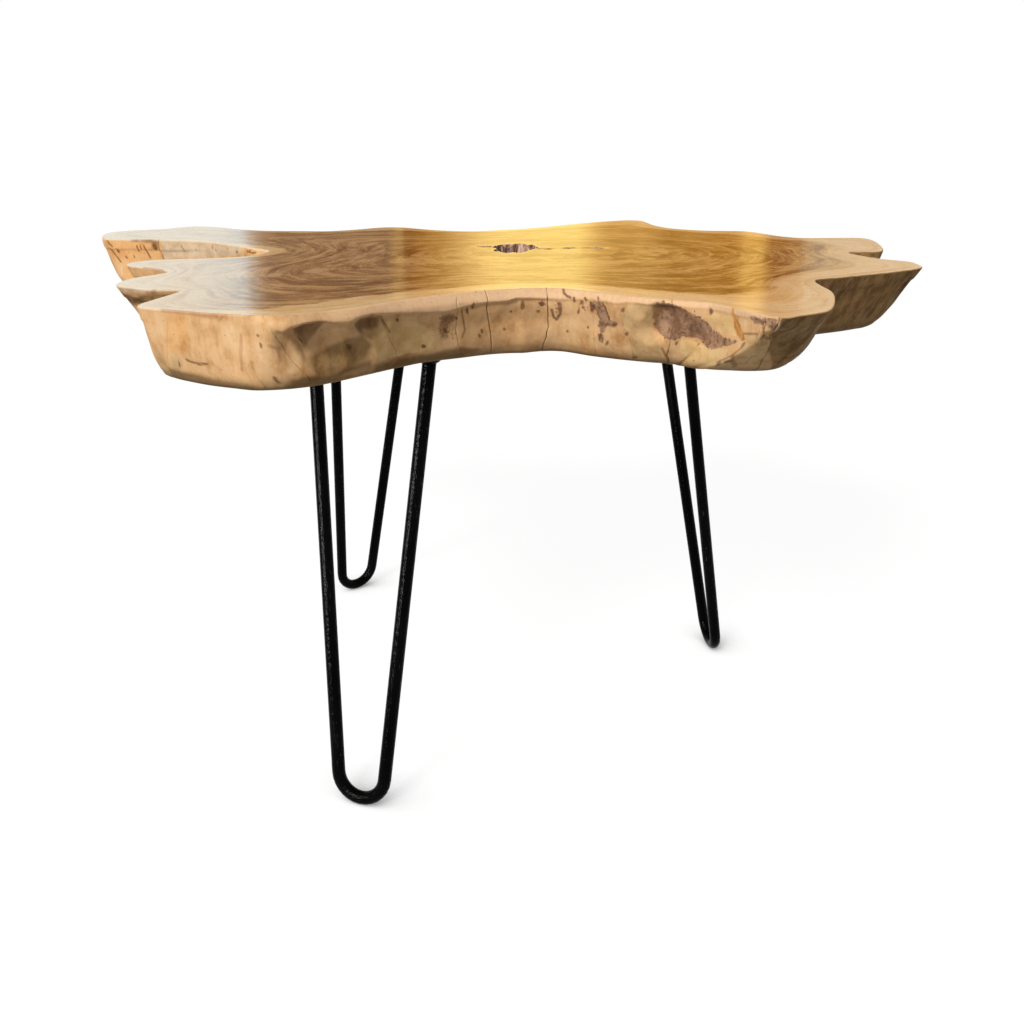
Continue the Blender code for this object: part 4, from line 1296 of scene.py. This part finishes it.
def floor_finish():
    """A white floor that shows the object's shadow lightly to the camera, and a painted contact shadow at the
    feet.
    """
    floor = Finish("white_floor")
    floor.set(Base_Color=FLOOR_COLOUR, Roughness=0.9, Specular_IOR_Level=0.0)
    glow = floor.node("ShaderNodeEmission")
    # Painted contact shadow: the glow dims near the feet, as occluded towards the key light
    painted_contact_shadow = floor.node("ShaderNodeAmbientOcclusion", samples=12)
    painted_contact_shadow.inputs["Distance"].default_value = CONTACT_SHADOW_REACH
    floor.feed(painted_contact_shadow.inputs["Normal"], floor.joined(*KEY_FROM))
    lit = floor.ease(painted_contact_shadow.outputs["AO"], 0.50, 0.98, 0.30 * FLOOR_GLOW, FLOOR_GLOW)
    floor.feed(glow.inputs["Strength"], lit)
    rays = floor.node("ShaderNodeLightPath")
    seen = floor.math("MAXIMUM", rays.outputs["Is Camera Ray"], rays.outputs["Is Glossy Ray"])
    seen = floor.math("MAXIMUM", seen, rays.outputs["Is Transmission Ray"])
    blend = floor.node("ShaderNodeMixShader")
    floor.feed(blend.inputs[0], floor.math("MULTIPLY", seen, FLOOR_GLOW_SHARE))
    floor.feed(blend.inputs[1], floor.surface.outputs[0])
    floor.feed(blend.inputs[2], glow.outputs[0])
    floor.feed(floor.tree.nodes["Material Output"].inputs["Surface"], blend.outputs[0])
    return floor.material


def flat_object(name, corners, finish):
    mesh = bpy.data.meshes.new(name)
    mesh.from_pydata(corners, [], [tuple(range(len(corners)))])
    mesh.materials.append(finish)
    made = bpy.data.objects.new(name, mesh)
    bpy.context.scene.collection.objects.link(made)
    return made


def hide_from_all_but_gloss(card):
    card.visible_camera = False
    card.visible_diffuse = False
    card.visible_shadow = False
    card.visible_transmission = False


def make_band_card():
    """A glowing card behind the table that gives the lacquer its upright bands."""
    finish = Finish("band_card")
    x = finish.axes()[0]
    places = [card_place(pixel) for pixel, colour in CARD_BANDS]
    low, high = places[0], places[-1]
    share = finish.node("ShaderNodeMapRange")
    for name, value in (("Value", x), ("From Min", low), ("From Max", high)):
        finish.feed(share.inputs[name], value)
    stops = [((place - low) / (high - low), tuple(part / CARD_LEVEL for part in colour))
             for place, (pixel, colour) in zip(places, CARD_BANDS)]
    finish.glow(finish.ramp(share.outputs["Result"], stops), CARD_LEVEL)
    corners = [(low, CARD_DISTANCE, 0.01), (high, CARD_DISTANCE, 0.01), (high, CARD_DISTANCE, 2.0),
               (low, CARD_DISTANCE, 2.0)]
    hide_from_all_but_gloss(flat_object("band_card", corners, finish.material))


def make_strip_card():
    """A low, narrow light at the front left that runs a broken line of shine down each rod."""
    finish = Finish("strip_card")
    finish.glow((1.0, 1.0, 1.0), STRIP_LEVEL)
    start, end = STRIP_ENDS
    corners = [(*start, 0.0), (*end, 0.0), (*end, STRIP_HEIGHT), (*start, STRIP_HEIGHT)]
    hide_from_all_but_gloss(flat_object("strip_card", corners, finish.material))


def card_place(pixel):
    """How far right on the card a photo pixel's ray comes to after the top reflects it."""
    reach = CARD_DISTANCE - CAMERA_PLACE[1]
    return CAMERA_PLACE[0] + reach * (pixel - PRINCIPAL_POINT[0]) / FOCAL_PIXELS


def make_light(name, place, level, colour, spread):
    """A distant lamp that shines from a place towards the middle."""
    data = bpy.data.lights.new(name, "SUN")
    data.energy = level
    data.color = colour
    data.angle = spread
    lamp = bpy.data.objects.new(name, data)
    lamp.location = place
    lamp.rotation_euler = (-Vector(place)).to_track_quat("-Z", "Y").to_euler()
    bpy.context.scene.collection.objects.link(lamp)


def make_world():
    world = bpy.data.worlds.new("studio")
    bpy.context.scene.world = world
    world.use_nodes = True
    tree = world.node_tree
    rays = tree.nodes.new("ShaderNodeLightPath")
    seen = tree.nodes.new("ShaderNodeMath")
    seen.operation = "MAXIMUM"
    tree.links.new(rays.outputs["Is Camera Ray"], seen.inputs[0])
    tree.links.new(rays.outputs["Is Glossy Ray"], seen.inputs[1])
    through = tree.nodes.new("ShaderNodeMath")
    through.operation = "MAXIMUM"
    tree.links.new(seen.outputs[0], through.inputs[0])
    tree.links.new(rays.outputs["Is Transmission Ray"], through.inputs[1])
    level = tree.nodes.new("ShaderNodeMapRange")
    tree.links.new(through.outputs[0], level.inputs["Value"])
    level.inputs["To Min"].default_value = WORLD_FILL
    level.inputs["To Max"].default_value = 1.0
    background = tree.nodes["Background"]
    background.inputs["Color"].default_value = (1.0, 1.0, 1.0, 1.0)
    tree.links.new(level.outputs["Result"], background.inputs["Strength"])


def make_stage():
    half = 60.0
    corners = [(-half, -half, 0), (half, -half, 0), (half, half, 0), (-half, half, 0)]
    flat_object("floor", corners, floor_finish())
    make_band_card()
    make_strip_card()
    make_light("key", KEY_FROM, KEY_LEVEL, (1.0, 0.97, 0.93), KEY_SPREAD)
    make_light("back_fill", (0.25, 0.90, 0.35), BACK_LEVEL, (1.0, 0.98, 0.95), radians(60))
    make_world()


def make_camera():
    data = bpy.data.cameras.new("camera")
    data.sensor_width = SENSOR_WIDTH
    data.lens = FOCAL_PIXELS / PHOTO_SIZE * SENSOR_WIDTH
    data.shift_x = 0.5 - PRINCIPAL_POINT[0] / PHOTO_SIZE
    data.shift_y = PRINCIPAL_POINT[1] / PHOTO_SIZE - 0.5
    camera = bpy.data.objects.new("camera", data)
    camera.location = CAMERA_PLACE
    camera.rotation_euler = (pi / 2 - CAMERA_TILT, 0, 0)
    bpy.context.scene.collection.objects.link(camera)
    bpy.context.scene.camera = camera


make_slab([top_wood(), side_wood(), underside_wood(), void_bark()])
dress_legs()
make_stage()
make_camera()
bpy.context.scene.view_settings.view_transform = "Standard"
